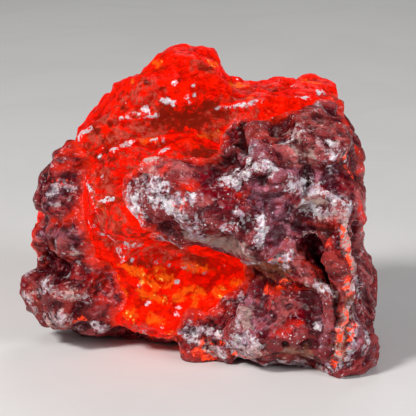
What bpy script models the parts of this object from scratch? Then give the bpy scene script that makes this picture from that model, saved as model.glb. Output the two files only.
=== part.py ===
"""A broken stone of sphalerite in its matrix, resting on its flat underside.

The stone stands in its own frame: X runs along its width, Y away from its front, Z up, and the
origin is under the middle of the stone, on the surface that it rests on. All the sizes below are
in millimetres, and MM turns them into Blender's metres.

Two minerals grew together here. The sphalerite is the clear red one. It fills the middle, stands
up behind as a crest and is laid bare in the hollow at the front. The matrix is the dull host rock
around it. The stone is first built whole: lumps are fused into one body, shell-shaped breaks are
cut out of it, and its surface is chipped into facets. It is then parted along the border of the
two minerals into one closed solid for each.
"""

import math
import random
from collections import namedtuple

import bmesh
import bpy
from mathutils import Euler, Matrix, Vector, noise
from mathutils.kdtree import KDTree

MM = 0.001

# The border between the two minerals is a gap of about this width
SEAM = 0.5
# How far the matrix's lumps are swelled to reach the stone's skin
SKIN = 1.2

# How far that border wanders, and over what length
BORDER_WANDER = 1.3
BORDER_LENGTH = 3.2

# How finely the stone is made, and how far creases between lumps are filled
VOXEL = 0.5
FILL = 1.0

# Flat breaks on each lump, and how far from its middle they lie, as a share of its half size
BREAKS = 8
BREAK_DEPTHS = (0.80, 0.95)

# Flat chips all over the surface: how far apart, how much each leans, how much each stands out,
# and the most that one moves the skin
CHIP_SEED = 7
CHIP_SPACING = 3.6
CHIP_LEAN = 0.20
CHIP_STEP = 0.18
CHIP_MOST = 0.7
# Slow swells under them
SWELL = 0.5
SWELL_LENGTH = 6.0

SPHALERITE_TRIANGLES = 3400
MATRIX_TRIANGLES = 4600

SPHALERITE_COLOUR = (0.80, 0.05, 0.01)
SPHALERITE_ROUGHNESS = 0.25
MATRIX_COLOUR = (0.17, 0.075, 0.085)
MATRIX_ROUGHNESS = 0.6

# The block under the stone that cuts its foot flat
FLOOR_LOW = (-40, -40, -20)
FLOOR_HIGH = (40, 40, 0)

# One rounded block of rock: its middle, its half sizes along its own axes, how far it is turned
# about X, Y and Z in degrees, and how square it is (2 is an egg, 4 is nearly a box)
Lump = namedtuple("Lump", "centre half turn square", defaults=((0, 0, 0), 2.6))

SPHALERITE_LUMPS = {
    "core": Lump((0.5, 3.5, 15.8), (16.5, 9.5, 12.5), (0, 0, 0), 3.0),
    "crest_slope": Lump((-8.1, 4.0, 26.9), (10.4, 6.8, 5.4), (0, -45, 0)),
    "crest_peak": Lump((-1.8, 4.5, 31.8), (5.1, 6.5, 5.2), (0, 15, 0)),
    "crest_ridge": Lump((10.2, 5.0, 27.9), (7.8, 7.6, 4.9), (0, 2, 0), 3.2),
    "shelf": Lump((-1.8, -4.6, 24.6), (9.5, 5.0, 2.4), (0, 4, 0)),
    "lens_root": Lump((-6.8, -4.2, 19.6), (5.6, 5.4, 4.4), (0, 8, 0)),
    "left_fold": Lump((-11.2, -2.0, 18.0), (3.6, 4.6, 8.0), (0, 6, 0)),
    "left_lobe": Lump((-17.8, 4.0, 13.0), (3.2, 4.0, 3.8)),
    "hollow_floor": Lump((-1.9, 1.0, 4.4), (9.5, 6.4, 4.6), (0, 0, 0), 3.0),
}

MATRIX_LUMPS = {
    "left_knob": Lump((-16.9, 0.3, 20.4), (4.2, 5.0, 4.4), (0, -12, 0)),
    "left_neck": Lump((-15.8, 0.2, 14.0), (3.2, 4.4, 3.2)),
    "left_lump": Lump((-15.8, 1.2, 7.6), (6.8, 6.8, 5.6), (0, 10, 0), 2.8),
    "left_foot": Lump((-13.2, 3.4, 3.4), (5.2, 5.4, 3.0)),
    "lens": Lump((2.0, -6.8, 19.4), (10.0, 6.0, 4.4), (0, 20, 0), 3.0),
    "shoulder_boss": Lump((7.8, -5.2, 24.4), (4.6, 6.4, 4.4), (0, 15, 0)),
    "right_shoulder": Lump((13.8, -1.6, 24.2), (6.0, 8.2, 6.6), (0, 20, 0), 3.0),
    "right_boss": Lump((15.8, -5.0, 19.6), (4.2, 7.2, 3.8)),
    "right_wall": Lump((11.8, -4.4, 13.6), (5.0, 7.0, 6.4)),
    "right_ridge": Lump((16.4, -7.4, 10.0), (2.3, 6.4, 10.6), (0, -3, 0), 3.4),
    "right_flank": Lump((18.4, 2.0, 8.2), (3.0, 8.4, 9.4), (0, -7, 0)),
    "foot_block": Lump((10.2, -4.2, 4.4), (7.6, 8.2, 5.2), (0, 0, 0), 3.2),
    "foot_toe": Lump((2.6, -2.6, 1.8), (5.6, 4.6, 3.0), (0, 0, 20), 3.2),
    "foot_corner": Lump((17.0, -6.0, 3.2), (4.6, 7.6, 4.6), (0, 0, 0), 3.2),
    "base": Lump((2.5, 7.5, 2.6), (17.0, 8.0, 4.2), (0, 0, 0), 4.0),
    "back_rise": Lump((-7.0, 11.5, 7.0), (7.0, 4.0, 6.0), (0, 25, 0)),
    "back_wing": Lump((14.0, 10.5, 14.0), (5.0, 5.0, 8.0), (0, 30, 0)),
}

# Shell-shaped breaks, cut out of the whole stone
SCOOPS = {
    "under_lens": Lump((-1.6, -10.8, 11.2), (9.8, 9.0, 4.2), (0, 16, 0), 2.2),
    "hollow_bowl": Lump((-3.0, -13.2, 7.0), (8.0, 9.6, 5.0), (0, 0, 0), 2.0),
    "gully": Lump((0.8, -6.0, 30.0), (7.5, 5.6, 2.2), (0, 2, 0), 2.0),
    "crevice": Lump((3.0, -11.5, 26.2), (3.2, 5.4, 1.3), (0, 24, 0), 2.0),
    "slot": Lump((14.2, -13.5, 13.8), (1.5, 6.0, 4.2), (0, -24, 0), 2.0),
    "saddle": Lump((14.5, -12.0, 30.8), (4.6, 6.4, 3.0), (0, 25, 0), 2.0),
    "boss_groove": Lump((12.2, -12.2, 23.0), (0.9, 4.0, 3.6), (0, 20, 0), 2.0),
    "left_notch": Lump((-19.8, -4.0, 16.8), (3.4, 5.0, 1.5), (0, -8, 0), 2.0),
    "neck_notch": Lump((-19.4, -4.6, 11.4), (3.6, 5.0, 1.4), (0, 12, 0), 2.0),
    "foot_shell": Lump((8.4, -19.4, 8.4), (5.2, 8.0, 4.4), (0, 0, 0), 2.0),
    "ridge_groove": Lump((19.0, -9.0, 12.0), (0.9, 3.6, 8.0), (0, -6, 12), 2.0),
    "back_shell": Lump((-6.0, 24.0, 16.0), (14.0, 12.0, 11.0), (0, 0, 0), 2.0),
    "back_step": Lump((12.0, 22.5, 21.0), (9.0, 10.0, 6.0), (0, 30, 0), 2.0),
    "end_shell": Lump((31.0, 6.0, 21.0), (10.0, 9.0, 9.0), (0, 0, 0), 2.0),
}


def new_object(name, bm):
    """Makes a named object from the mesh that has been built, and frees that mesh."""
    mesh = bpy.data.meshes.new(name)
    bm.to_mesh(mesh)
    bm.free()
    made = bpy.data.objects.new(name, mesh)
    bpy.context.scene.collection.objects.link(made)
    return made


def copied(name, obj):
    bm = bmesh.new()
    bm.from_mesh(obj.data)
    return new_object(name, bm)


def add_lump(bm, lump, seed, breaks):
    """Adds one lump to the mesh: a squared-off ball with a few flat breaks on it."""
    rng = random.Random(seed)
    flats = []
    for _ in range(breaks):
        side = Vector([rng.gauss(0, 1) for _ in range(3)]).normalized()
        flats.append((side, rng.uniform(*BREAK_DEPTHS)))
    turn = Euler([math.radians(a) for a in lump.turn]).to_matrix().to_4x4()
    place = Matrix.Translation(Vector(lump.centre)) @ turn
    for vert in bmesh.ops.create_icosphere(bm, subdivisions=4, radius=1.0)["verts"]:
        out = vert.co.normalized()
        point = out * sum(abs(c) ** lump.square for c in out) ** (-1 / lump.square)
        for side, depth in flats:
            over = point.dot(side) - depth
            if over > 0:
                point -= side * over
        vert.co = place @ Vector([p * h for p, h in zip(point, lump.half)]) * MM


def baked(obj):
    """Turns the object's modifiers into its mesh."""
    bpy.context.view_layer.update()
    graph = bpy.context.evaluated_depsgraph_get()
    mesh = bpy.data.meshes.new_from_object(obj.evaluated_get(graph))
    obj.modifiers.clear()
    obj.data = mesh
    return obj


def evened(obj):
    """Rebuilds the object's skin from even squares, which also fuses what overlaps."""
    step = obj.modifiers.new("even", "REMESH")
    step.mode = "VOXEL"
    step.voxel_size = VOXEL * MM
    return baked(obj)


def swelled(obj, by):
    """Moves the whole skin outwards, or inwards where the distance is negative."""
    step = obj.modifiers.new("swell", "DISPLACE")
    step.strength = by * MM
    step.mid_level = 0
    return evened(obj)


def fused(name, lumps):
    """One body of all the lumps."""
    bm = bmesh.new()
    for seed, lump in enumerate(lumps.values()):
        add_lump(bm, lump, seed, BREAKS)
    return evened(new_object(name, bm))


def cut(obj, cutters, operation="DIFFERENCE"):
    """Cuts the object with each of the cutters in turn."""
    for cutter in cutters:
        step = obj.modifiers.new("cut", "BOOLEAN")
        step.operation = operation
        step.object = cutter
    return baked(obj)


def scoop(name, shape):
    """A cutter that leaves a smooth hollow."""
    bm = bmesh.new()
    add_lump(bm, shape, 0, 0)
    return new_object("scoop_" + name, bm)


def block(name, low, high):
    bm = bmesh.new()
    bmesh.ops.create_cube(bm, size=1.0)
    for vert in bm.verts:
        vert.co = Vector([h if c > 0 else l for c, l, h in zip(vert.co, low, high)]) * MM
    return new_object(name, bm)


def chipped(stone):
    """Gives the skin slow swells and flat chips, each leaning its own way about its middle."""
    rng = random.Random(CHIP_SEED)
    verts = stone.data.vertices
    count = int(len(verts) * (VOXEL / CHIP_SPACING) ** 2)
    middles = [verts[i].co.copy() for i in rng.sample(range(len(verts)), count)]
    leans = [Vector([rng.gauss(0, CHIP_LEAN) for _ in range(3)]) for _ in middles]
    steps = [rng.gauss(0, CHIP_STEP) for _ in middles]
    tree = KDTree(count)
    for i, middle in enumerate(middles):
        tree.insert(middle, i)
    tree.balance()
    moves = []
    for vert in verts:
        middle, i, _ = tree.find(vert.co)
        chip = leans[i].dot(vert.co - middle) / MM + steps[i]
        chip = max(-CHIP_MOST, min(CHIP_MOST, chip))
        swell = noise.fractal(vert.co / (SWELL_LENGTH * MM), 1.0, 2.0, 3) * SWELL
        moves.append(vert.normal * (chip + swell) * MM)
    for vert, move in zip(verts, moves):
        vert.co += move
    return evened(stone)


def rippled(obj):
    """Moves the skin in and out by noise, so that an edge cut with it wanders."""
    verts = obj.data.vertices
    moves = []
    for vert in verts:
        wander = noise.fractal(vert.co / (BORDER_LENGTH * MM), 1.0, 2.0, 2) * BORDER_WANDER
        moves.append(vert.normal * wander * MM)
    for vert, move in zip(verts, moves):
        vert.co += move
    return evened(obj)


def whole_stone():
    stone = fused("stone", {**SPHALERITE_LUMPS, **MATRIX_LUMPS})
    swelled(swelled(stone, FILL), -FILL)
    cut(stone, [scoop(name, shape) for name, shape in SCOOPS.items()])
    return chipped(evened(stone))


def host_region():
    """What the matrix takes up: its own lumps, a little larger than they are in the stone."""
    return rippled(swelled(fused("host_region", MATRIX_LUMPS), SKIN))


def largest_body(obj):
    """Leaves out the crumbs that a cut has freed."""
    bm = bmesh.new()
    bm.from_mesh(obj.data)
    left = set(bm.verts)
    bodies = []
    while left:
        body = {left.pop()}
        edge = list(body)
        while edge:
            near = {e.other_vert(v) for v in edge for e in v.link_edges} - body
            body |= near
            edge = list(near)
        left -= body
        bodies.append(body)
    bodies.sort(key=len)
    bmesh.ops.delete(bm, geom=[v for body in bodies[:-1] for v in body], context="VERTS")
    bm.to_mesh(obj.data)
    bm.free()
    return obj


def thinned(obj, triangles):
    """Brings the object down to about this many triangles, most of them where it bends."""
    obj.modifiers.new("triangles", "TRIANGULATE")
    step = obj.modifiers.new("thin", "DECIMATE")
    obj.data.calc_loop_triangles()
    step.ratio = triangles / len(obj.data.loop_triangles)
    return baked(obj)


def coloured(obj, colour, roughness):
    material = bpy.data.materials.new(obj.name)
    material.use_nodes = True
    shader = material.node_tree.nodes["Principled BSDF"]
    shader.inputs["Base Color"].default_value = (*colour, 1.0)
    shader.inputs["Roughness"].default_value = roughness
    obj.data.materials.clear()
    obj.data.materials.append(material)


def share(name, stone, region, operation, triangles):
    """The stone's share inside the region, or outside it, with a flat foot."""
    piece = cut(copied(name, stone), [region], operation)
    thinned(evened(largest_body(piece)), triangles)
    return largest_body(cut(piece, [block("floor_under_" + name, FLOOR_LOW, FLOOR_HIGH)]))


def centred(pieces):
    """Moves the pieces so that the middle of their common box is over the origin."""
    corners = [vert.co for piece in pieces for vert in piece.data.vertices]
    for axis in range(2):
        values = [corner[axis] for corner in corners]
        middle = (min(values) + max(values)) / 2
        for corner in corners:
            corner[axis] -= middle


def main():
    for obj in list(bpy.data.objects):
        bpy.data.objects.remove(obj)
    stone = whole_stone()
    host = host_region()
    around_host = swelled(copied("around_host", host), SEAM)
    matrix = share("matrix", stone, host, "INTERSECT", MATRIX_TRIANGLES)
    sphalerite = share("sphalerite", stone, around_host, "DIFFERENCE", SPHALERITE_TRIANGLES)
    for obj in list(bpy.data.objects):
        if obj not in (matrix, sphalerite):
            bpy.data.objects.remove(obj)
    centred([matrix, sphalerite])
    coloured(matrix, MATRIX_COLOUR, MATRIX_ROUGHNESS)
    coloured(sphalerite, SPHALERITE_COLOUR, SPHALERITE_ROUGHNESS)


main()
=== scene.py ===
# %% [markdown]
# # A stone of sphalerite in its matrix
#
# Two minerals grew together here. Sphalerite is the clear one: light that falls into it comes out
# orange-red, so it seems to glow. The matrix is the dull purple-brown rock around it, broken into
# small glassy faces and dusted with a cream and lavender crust.
#
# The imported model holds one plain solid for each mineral. This lesson keeps their place and size,
# gives each a finely broken skin, and paints that skin with materials made of nodes.

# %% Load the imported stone
import math

import bpy
import numpy as np
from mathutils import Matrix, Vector
from mathutils.bvhtree import BVHTree


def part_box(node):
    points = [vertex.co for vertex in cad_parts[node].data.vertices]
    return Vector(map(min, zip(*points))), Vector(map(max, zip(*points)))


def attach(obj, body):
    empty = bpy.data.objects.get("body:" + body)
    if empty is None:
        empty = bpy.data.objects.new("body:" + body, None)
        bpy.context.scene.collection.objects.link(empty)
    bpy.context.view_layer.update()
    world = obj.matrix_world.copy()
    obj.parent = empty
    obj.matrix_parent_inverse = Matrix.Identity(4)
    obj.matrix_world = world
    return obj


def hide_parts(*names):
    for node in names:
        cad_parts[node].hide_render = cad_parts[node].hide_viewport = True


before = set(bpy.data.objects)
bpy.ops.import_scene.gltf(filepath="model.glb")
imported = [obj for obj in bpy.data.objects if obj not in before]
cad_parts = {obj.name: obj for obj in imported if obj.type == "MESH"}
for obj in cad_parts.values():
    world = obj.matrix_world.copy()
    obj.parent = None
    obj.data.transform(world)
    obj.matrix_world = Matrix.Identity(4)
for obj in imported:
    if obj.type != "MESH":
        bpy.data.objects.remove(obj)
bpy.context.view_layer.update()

MM = 0.001
BODY = "root"
MINERALS = ("matrix", "sphalerite")

# %% [markdown]
# ## The camera
#
# The photograph looks straight at the front of the stone and a little down on it, through a long
# lens. A camera can be placed by eye or worked out from the picture's scale. Here it is worked
# out, and it comes first, because the marks on the stone are placed by where they show in the
# picture: a ray from the camera through that point meets the stone where the mark sits.

# %% Place the camera
PHOTO_PIXELS = 416
PIXELS_PER_MM = 8.09
CAMERA_DISTANCE = 250 * MM
CAMERA_ELEVATION = math.radians(15)
CAMERA_TARGET = Vector((1.35, -1.05, 17.75)) * MM
CLIP_START = 10 * MM
SENSOR_WIDTH = 36

AHEAD = Vector((0, math.cos(CAMERA_ELEVATION), -math.sin(CAMERA_ELEVATION)))
ACROSS = Vector((1, 0, 0))
UPWARDS = ACROSS.cross(AHEAD)
seen_width = PHOTO_PIXELS / PIXELS_PER_MM * MM

camera = bpy.data.objects.new("camera", bpy.data.cameras.new("camera"))
camera.data.sensor_width = SENSOR_WIDTH
camera.data.lens = SENSOR_WIDTH * CAMERA_DISTANCE / seen_width
camera.data.clip_start = CLIP_START
camera.location = CAMERA_TARGET - AHEAD * CAMERA_DISTANCE
camera.rotation_euler = AHEAD.to_track_quat("-Z", "Y").to_euler()
bpy.context.scene.collection.objects.link(camera)
bpy.context.scene.camera = camera
print("lens, mm:", round(camera.data.lens, 1))

# %% Find the place on the stone that shows at a pixel
solids = {name: BVHTree.FromObject(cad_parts[name], bpy.context.evaluated_depsgraph_get())
          for name in MINERALS}


def on_stone(pixel):
    """The point of the stone that the camera sees at this pixel, or None beside the stone."""
    across = (pixel[0] / PHOTO_PIXELS - 0.5) * seen_width
    down = (pixel[1] / PHOTO_PIXELS - 0.5) * seen_width
    ray = (AHEAD * CAMERA_DISTANCE + ACROSS * across - UPWARDS * down).normalized()
    hits = [solid.ray_cast(camera.location, ray) for solid in solids.values()]
    hits = [(distance, point) for point, _, _, distance in hits if point]
    return min(hits)[1] if hits else None


middle = on_stone((PHOTO_PIXELS / 2, PHOTO_PIXELS / 2))
print("the picture's middle meets the stone at, mm:", [round(c / MM, 2) for c in middle])

# %% [markdown]
# ## Noise, cells and flat faces
#
# Broken rock needs three kinds of pattern. Noise swells and sinks softly. Cells part the surface
# into crumbs. Flat faces lean at random and meet in sharp edges, which is how a brittle mineral
# breaks. Blender has such patterns as shader nodes, but a shape that shows from every side has to
# be in the mesh, so they are worked out here for all the points of a mesh at once.

# %% Soft noise for many points
# Large odd factors that stir a lattice corner into a number with no pattern
CORNER_FACTORS = (73856093, 19349663, 83492791)
SEED_FACTOR = 2654435761
STIRS = ((15, 2246822519), (13, 3266489917))
LAST_STIR = 16
WORD = 0xFFFFFFFF
DIRECTIONS = 256
NOISE_GAIN = 1.6
# Each pattern of this lesson has a seed of its own, so that no two of them line up
SEEDS = {"swells": 31, "tears": 40, "faces": 50, "crumbs": 61, "fine crumbs": 62, "arc middles": 71,
         "arc bends": 72, "patches": 80}


def corner_numbers(corner, seed, count):
    """Whole numbers below count, one for each lattice corner, always the same."""
    mixed = corner[:, 0] * CORNER_FACTORS[0]
    mixed = mixed ^ corner[:, 1] * CORNER_FACTORS[1] ^ corner[:, 2] * CORNER_FACTORS[2]
    mixed = (mixed ^ seed * SEED_FACTOR) & WORD
    for shift, factor in STIRS:
        mixed = (mixed ^ (mixed >> shift)) * factor & WORD
    return (mixed ^ (mixed >> LAST_STIR)) % count


directions = np.random.default_rng(1).normal(size=(DIRECTIONS, 3))
directions /= np.linalg.norm(directions, axis=1)[:, None]
CORNERS = [np.array((i, j, k)) for i in (0, 1) for j in (0, 1) for k in (0, 1)]


def noise(points, size, seed):
    """Soft noise from about -1 to 1, with swells about this size across."""
    scaled = points / size
    low = np.floor(scaled).astype(np.int64)
    inside = scaled - low
    fade = inside * inside * (3 - 2 * inside)
    total = np.zeros(len(points))
    for corner in CORNERS:
        way = directions[corner_numbers(low + corner, seed, DIRECTIONS)]
        weight = np.prod(np.where(corner, fade, 1 - fade), axis=1)
        total += weight * np.einsum("ij,ij->i", way, inside - corner)
    return total * NOISE_GAIN


def layered(points, size, seed, layers=4):
    """Noise with finer and finer noise on top of it."""
    return sum(noise(points, size / 2 ** i, seed + i) / 2 ** i for i in range(layers))


sample = np.random.default_rng(2).uniform(-1, 1, (2000, 3))
sampled = noise(sample, 0.3, 5)
print("noise runs from", sampled.min().round(2), "to", sampled.max().round(2))

# %% Cells and flat faces for many points
NEIGHBOURS = [(i, j, k) for i in (-1, 0, 1) for j in (-1, 0, 1) for k in (-1, 0, 1)]
FAR = 9.0
STEPS = 1000
# How far a face reaches from its middle, in its own size, and how fast it curls up beyond that
FACE_REACH = 0.85
FACE_CURL = 2


def random_shares(corner, seed, count):
    """So many numbers from 0 to 1 for each lattice corner."""
    return np.stack([corner_numbers(corner, seed + i, STEPS) / STEPS for i in range(count)], axis=1)


def cells(points, size, seed):
    """For each point, the offset from its cell's middle, and how deep it lies in the cell."""
    scaled = points / size
    low = np.floor(scaled).astype(np.int64)
    near = np.full(len(points), FAR)
    second = np.full(len(points), FAR)
    offset = np.zeros_like(points)
    for neighbour in NEIGHBOURS:
        corner = low + neighbour
        away = scaled - (corner + random_shares(corner, seed, 3))
        gap = np.linalg.norm(away, axis=1)
        closer = gap < near
        second = np.where(closer, near, np.minimum(second, gap))
        near = np.where(closer, gap, near)
        offset[closer] = away[closer]
    return offset * size, second - near


def faces(points, size, lean, seed):
    """The height of flat faces about this size, which lean at random and meet in sharp edges."""
    scaled = points / size
    low = np.floor(scaled).astype(np.int64)
    height = np.full(len(points), FAR)
    for neighbour in NEIGHBOURS:
        corner = low + neighbour
        shares = random_shares(corner, seed, 6)
        away = scaled - (corner + shares[:, :3])
        leans = (shares[:, 3:] - 0.5) * 2 * lean
        beyond = np.maximum(np.linalg.norm(away, axis=1) - FACE_REACH, 0)
        height = np.minimum(height, np.einsum("ij,ij->i", away, leans) + beyond ** 2 * FACE_CURL)
    return (height - height.mean()) * size


print("faces rise and sink by up to", np.abs(faces(sample, 0.3, 0.2, 5)).max().round(3))

# %% [markdown]
# ## A fine skin for each mineral
#
# The solids have triangles about a millimetre long, too coarse for crumbs and small facets. They
# could be subdivided, but their triangles are uneven. The Remesh modifier rebuilds each one from
# even squares a quarter of a millimetre across instead. The solids also keep a gap between the two
# minerals, where the real ones are grown together. Points near the gap are drawn across it, so
# that each mineral reaches a little into the other.

# %% Rebuild each solid finely and close the gap
FINE = {"matrix": 0.275 * MM, "sphalerite": 0.25 * MM}
OTHER = {"matrix": "sphalerite", "sphalerite": "matrix"}
# Points nearer than the first are drawn the most, and points beyond the second not at all
GAP_REACH = (0.6 * MM, 1.7 * MM)
# How much of the gap a point is drawn across
GAP_SHARE = 0.64
# How far the other mineral is looked for
NEAR_REACH = 2.2 * MM


def baked(obj):
    """Turns the object's modifiers into its mesh."""
    bpy.context.view_layer.update()
    graph = bpy.context.evaluated_depsgraph_get()
    mesh = bpy.data.meshes.new_from_object(obj.evaluated_get(graph))
    obj.modifiers.clear()
    obj.data = mesh
    return obj


def points_of(obj):
    """Where the mesh's points are."""
    flat = np.zeros(len(obj.data.vertices) * 3)
    obj.data.vertices.foreach_get("co", flat)
    return flat.reshape(-1, 3)


def set_points(obj, points):
    """Moves the mesh's points to new places."""
    obj.data.vertices.foreach_set("co", points.ravel())
    obj.data.update()


def normals_of(obj):
    """Which way the surface faces at each point."""
    flat = np.zeros(len(obj.data.vertices) * 3)
    obj.data.vertex_normals.foreach_get("vector", flat)
    return flat.reshape(-1, 3)


def ramp(values, start, end):
    """0 before start, 1 after end, and smooth between them. It falls if end comes first."""
    share = np.clip((values - start) / (end - start), 0, 1)
    return share * share * (3 - 2 * share)


def fine_copy(name):
    """A mineral's solid, rebuilt from even squares."""
    made = bpy.data.objects.new(name + "_skin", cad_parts[name].data.copy())
    bpy.context.scene.collection.objects.link(made)
    made.data.materials.clear()
    remesh = made.modifiers.new("even", "REMESH")
    remesh.mode = "VOXEL"
    remesh.voxel_size = FINE[name]
    baked(made)
    made.data.shade_smooth()
    return made


def drawn_over(obj, other):
    """Draws the points near the other mineral towards it, and returns how far off each was."""
    points = points_of(obj)
    nearest = [other.find_nearest(Vector(p), NEAR_REACH) for p in points]
    gap = np.array([hit[3] if hit[0] else NEAR_REACH for hit in nearest])
    goal = np.array([hit[0] if hit[0] else p for hit, p in zip(nearest, points)])
    share = GAP_SHARE * ramp(gap, GAP_REACH[1], GAP_REACH[0])
    set_points(obj, points + (goal - points) * share[:, None])
    return gap


skin = {name: fine_copy(name) for name in MINERALS}
gap = {name: drawn_over(skin[name], solids[OTHER[name]]) for name in MINERALS}
for name in MINERALS:
    print(name, "has", len(skin[name].data.vertices), "points")

# %% [markdown]
# ## Marks listed one by one
#
# Crusts, glowing windows, smooth shell breaks and the painted shade of pits each have their own
# place on this stone. They could be painted on a texture, but this lesson has no pictures on disk,
# so they are strokes. A stroke is a short path of pixels with a width, laid on the stone by the
# camera's rays.
# Every point of the mesh is then covered by the stroke as far as it lies inside that width. The
# widths are torn by noise, so that no mark has a round or straight edge.

# %% Strokes on the stone
TEAR_SIZE = 1.3 * MM
TEAR_LAYERS = 3
# How much of a stroke's strength is lost at its width
FALL = 0.55
# Keeps a path's length above nothing where both its ends are one place
TINY = 1e-12


def to_path(points, path):
    """How far each point is from a path of straight pieces."""
    gap = np.full(len(points), FAR)
    for start, end in zip(path[:-1], path[1:]):
        way = end - start
        share = np.clip((points - start) @ way / max(way @ way, TINY), 0, 1)
        gap = np.minimum(gap, np.linalg.norm(points - start - share[:, None] * way, axis=1))
    return gap


def covered(points, strokes, tear=0.5):
    """How much the strokes cover each point: most along their path, and less and less beside it."""
    most = np.zeros(len(points))
    tears = layered(points, TEAR_SIZE, SEEDS["tears"], TEAR_LAYERS) * tear
    for width, strength, pixels in strokes:
        path = [np.array(place) for place in map(on_stone, pixels) if place]
        if not path:
            print("a stroke misses the stone:", pixels)
            continue
        reach = width / PIXELS_PER_MM * MM
        gap = to_path(points, path if len(path) > 1 else path * 2) / reach
        left = 1 - FALL * (gap + tears * np.minimum(gap, 1))
        most = np.maximum(most, strength * np.clip(left, 0, 1))
    return most


# %% [markdown]
# The lists below are the stone's map. Each entry is one stroke: how wide it is in pixels, how
# strong it is, and the pixels that it runs through.

# %% The crust: cream and lavender crumbs
CRUST = [
    # left knob and lump
    (4, 0.6, [(41, 184), (50, 190), (60, 189)]), (3, 0.6, [(47, 205), (57, 205)]),
    (4, 0.9, [(55, 246)]), (4, 0.9, [(75, 249)]), (5, 0.8, [(28, 272)]), (6, 0.9, [(46, 286)]),
    (6, 0.9, [(27, 297)]), (5, 0.9, [(66, 293), (86, 299)]), (6, 0.9, [(50, 319), (64, 318)]),
    (4, 0.8, [(92, 328), (108, 331)]), (4, 0.7, [(66, 275)]), (4, 0.8, [(36, 310)]),
    # the lens, left end and lower face
    (10, 0.9, [(130, 206), (138, 202), (137, 217)]),
    (8, 0.9, [(149, 187), (160, 190), (157, 196)]), (4, 0.8, [(143, 158), (156, 163)]),
    (6, 0.85, [(167, 203), (180, 212), (188, 224), (200, 238)]),
    (5, 0.6, [(190, 216), (202, 228)]), (4, 0.7, [(196, 246), (216, 254)]),
    (4, 1.0, [(148, 226), (173, 238), (192, 247), (212, 259)]),
    (4, 0.9, [(222, 254), (255, 258)]),
    (6, 0.8, [(178, 200), (193, 199)]),
    (5, 0.6, [(225, 232), (240, 226)]), (4, 0.6, [(236, 212), (246, 218)]),
    (5, 1.0, [(261, 220), (263, 232), (260, 243)]),
    # the ridge above the lens
    (7, 1.0, [(228, 182), (240, 180)]), (4, 0.9, [(246, 174), (254, 169), (266, 166), (272, 173)]),
    (6, 1.0, [(289, 184), (300, 184), (309, 191)]), (4, 0.7, [(250, 151), (247, 162)]),
    # shoulder
    (5, 1.0, [(296, 134)]), (3, 0.9, [(306, 130)]), (4, 0.9, [(286, 141)]), (3, 0.6, [(280, 107)]),
    (5, 0.8, [(331, 147), (332, 158)]), (4, 0.7, [(331, 169)]), (4, 0.7, [(346, 152), (350, 162)]),
    # boss right of the lens
    (6, 0.8, [(318, 188), (330, 195), (338, 205)]), (5, 0.9, [(312, 211), (322, 216), (334, 211)]),
    (5, 0.7, [(304, 200), (306, 208)]), (5, 0.8, [(346, 200), (350, 208), (343, 218)]),
    # brown band under the lens, and the foot
    (5, 0.9, [(270, 257), (288, 256)]), (4, 0.9, [(284, 266)]), (3, 0.5, [(304, 236), (316, 236)]),
    (5, 0.7, [(312, 285), (322, 288), (331, 293)]),
    (6, 0.9, [(186, 331), (194, 340)]), (5, 0.9, [(208, 332), (222, 335)]),
    (5, 0.9, [(208, 349), (223, 353)]), (6, 1.0, [(232, 342), (246, 340), (256, 350), (240, 354)]),
    (4, 0.8, [(282, 358)]), (6, 0.9, [(298, 359), (309, 364)]), (5, 0.7, [(322, 368), (334, 366)]),
    (4, 0.8, [(317, 327)]), (4, 0.6, [(262, 345)]),
    # right ridge
    (4, 0.9, [(348, 226), (347, 245), (349, 262)]), (3, 0.5, [(353, 262), (357, 280), (362, 295)]),
    (4, 0.7, [(346, 284), (348, 300)]), (4, 0.7, [(341, 330), (340, 345), (338, 364)]),
    (5, 0.8, [(352, 330), (354, 346), (350, 362)]), (4, 0.8, [(366, 335), (368, 350)]),
]

# %% The glow: where light comes out of the dull rock
GLOW = [
    (10, 1.0, [(54, 156), (64, 149), (75, 146)]), (8, 0.8, [(46, 168), (60, 166), (76, 164)]),
    (9, 1.0, [(42, 228), (40, 240), (39, 254)]), (7, 0.85, [(52, 222), (66, 219), (76, 213)]),
    (8, 0.4, [(78, 196), (86, 206)]),
    (11, 0.55, [(97, 282), (106, 300), (112, 318)]),
    (7, 1.0, [(180, 188), (191, 189)]), (5, 0.9, [(170, 168), (165, 176)]),
    (9, 0.55, [(228, 190), (246, 196)]), (7, 0.65, [(280, 112), (294, 113)]),
    (9, 1.0, [(340, 102), (346, 112), (349, 124)]), (4, 1.0, [(355, 147), (358, 160), (359, 172)]),
    (5, 0.9, [(357, 205), (362, 216), (365, 232)]),
    (5, 0.6, [(303, 254), (309, 266), (316, 276)]), (4, 1.0, [(330, 244)]),
    (3, 1.0, [(346, 240), (348, 256)]), (3, 1.0, [(344, 262)]), (3, 1.0, [(345, 276), (347, 290)]),
    (3, 1.0, [(340, 330)]), (3, 0.9, [(350, 336)]), (3, 0.9, [(341, 350)]),
    (6, 0.7, [(265, 300), (276, 294)]), (5, 0.6, [(280, 287), (304, 288)]),
    (5, 0.8, [(274, 334), (288, 331), (298, 324)]),
    (5, 1.0, [(180, 347), (200, 354), (216, 356)]), (5, 0.8, [(236, 344)]),
    (5, 0.8, [(192, 322), (206, 314), (226, 307)]), (4, 0.8, [(262, 288), (272, 292)]),
    (7, 0.5, [(318, 228), (334, 226)]),
    (8, 0.5, [(372, 250), (372, 290)]), (9, 0.45, [(366, 215), (370, 262)]),
]
print(len(CRUST), "strokes of crust and", len(GLOW), "of glow")
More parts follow.
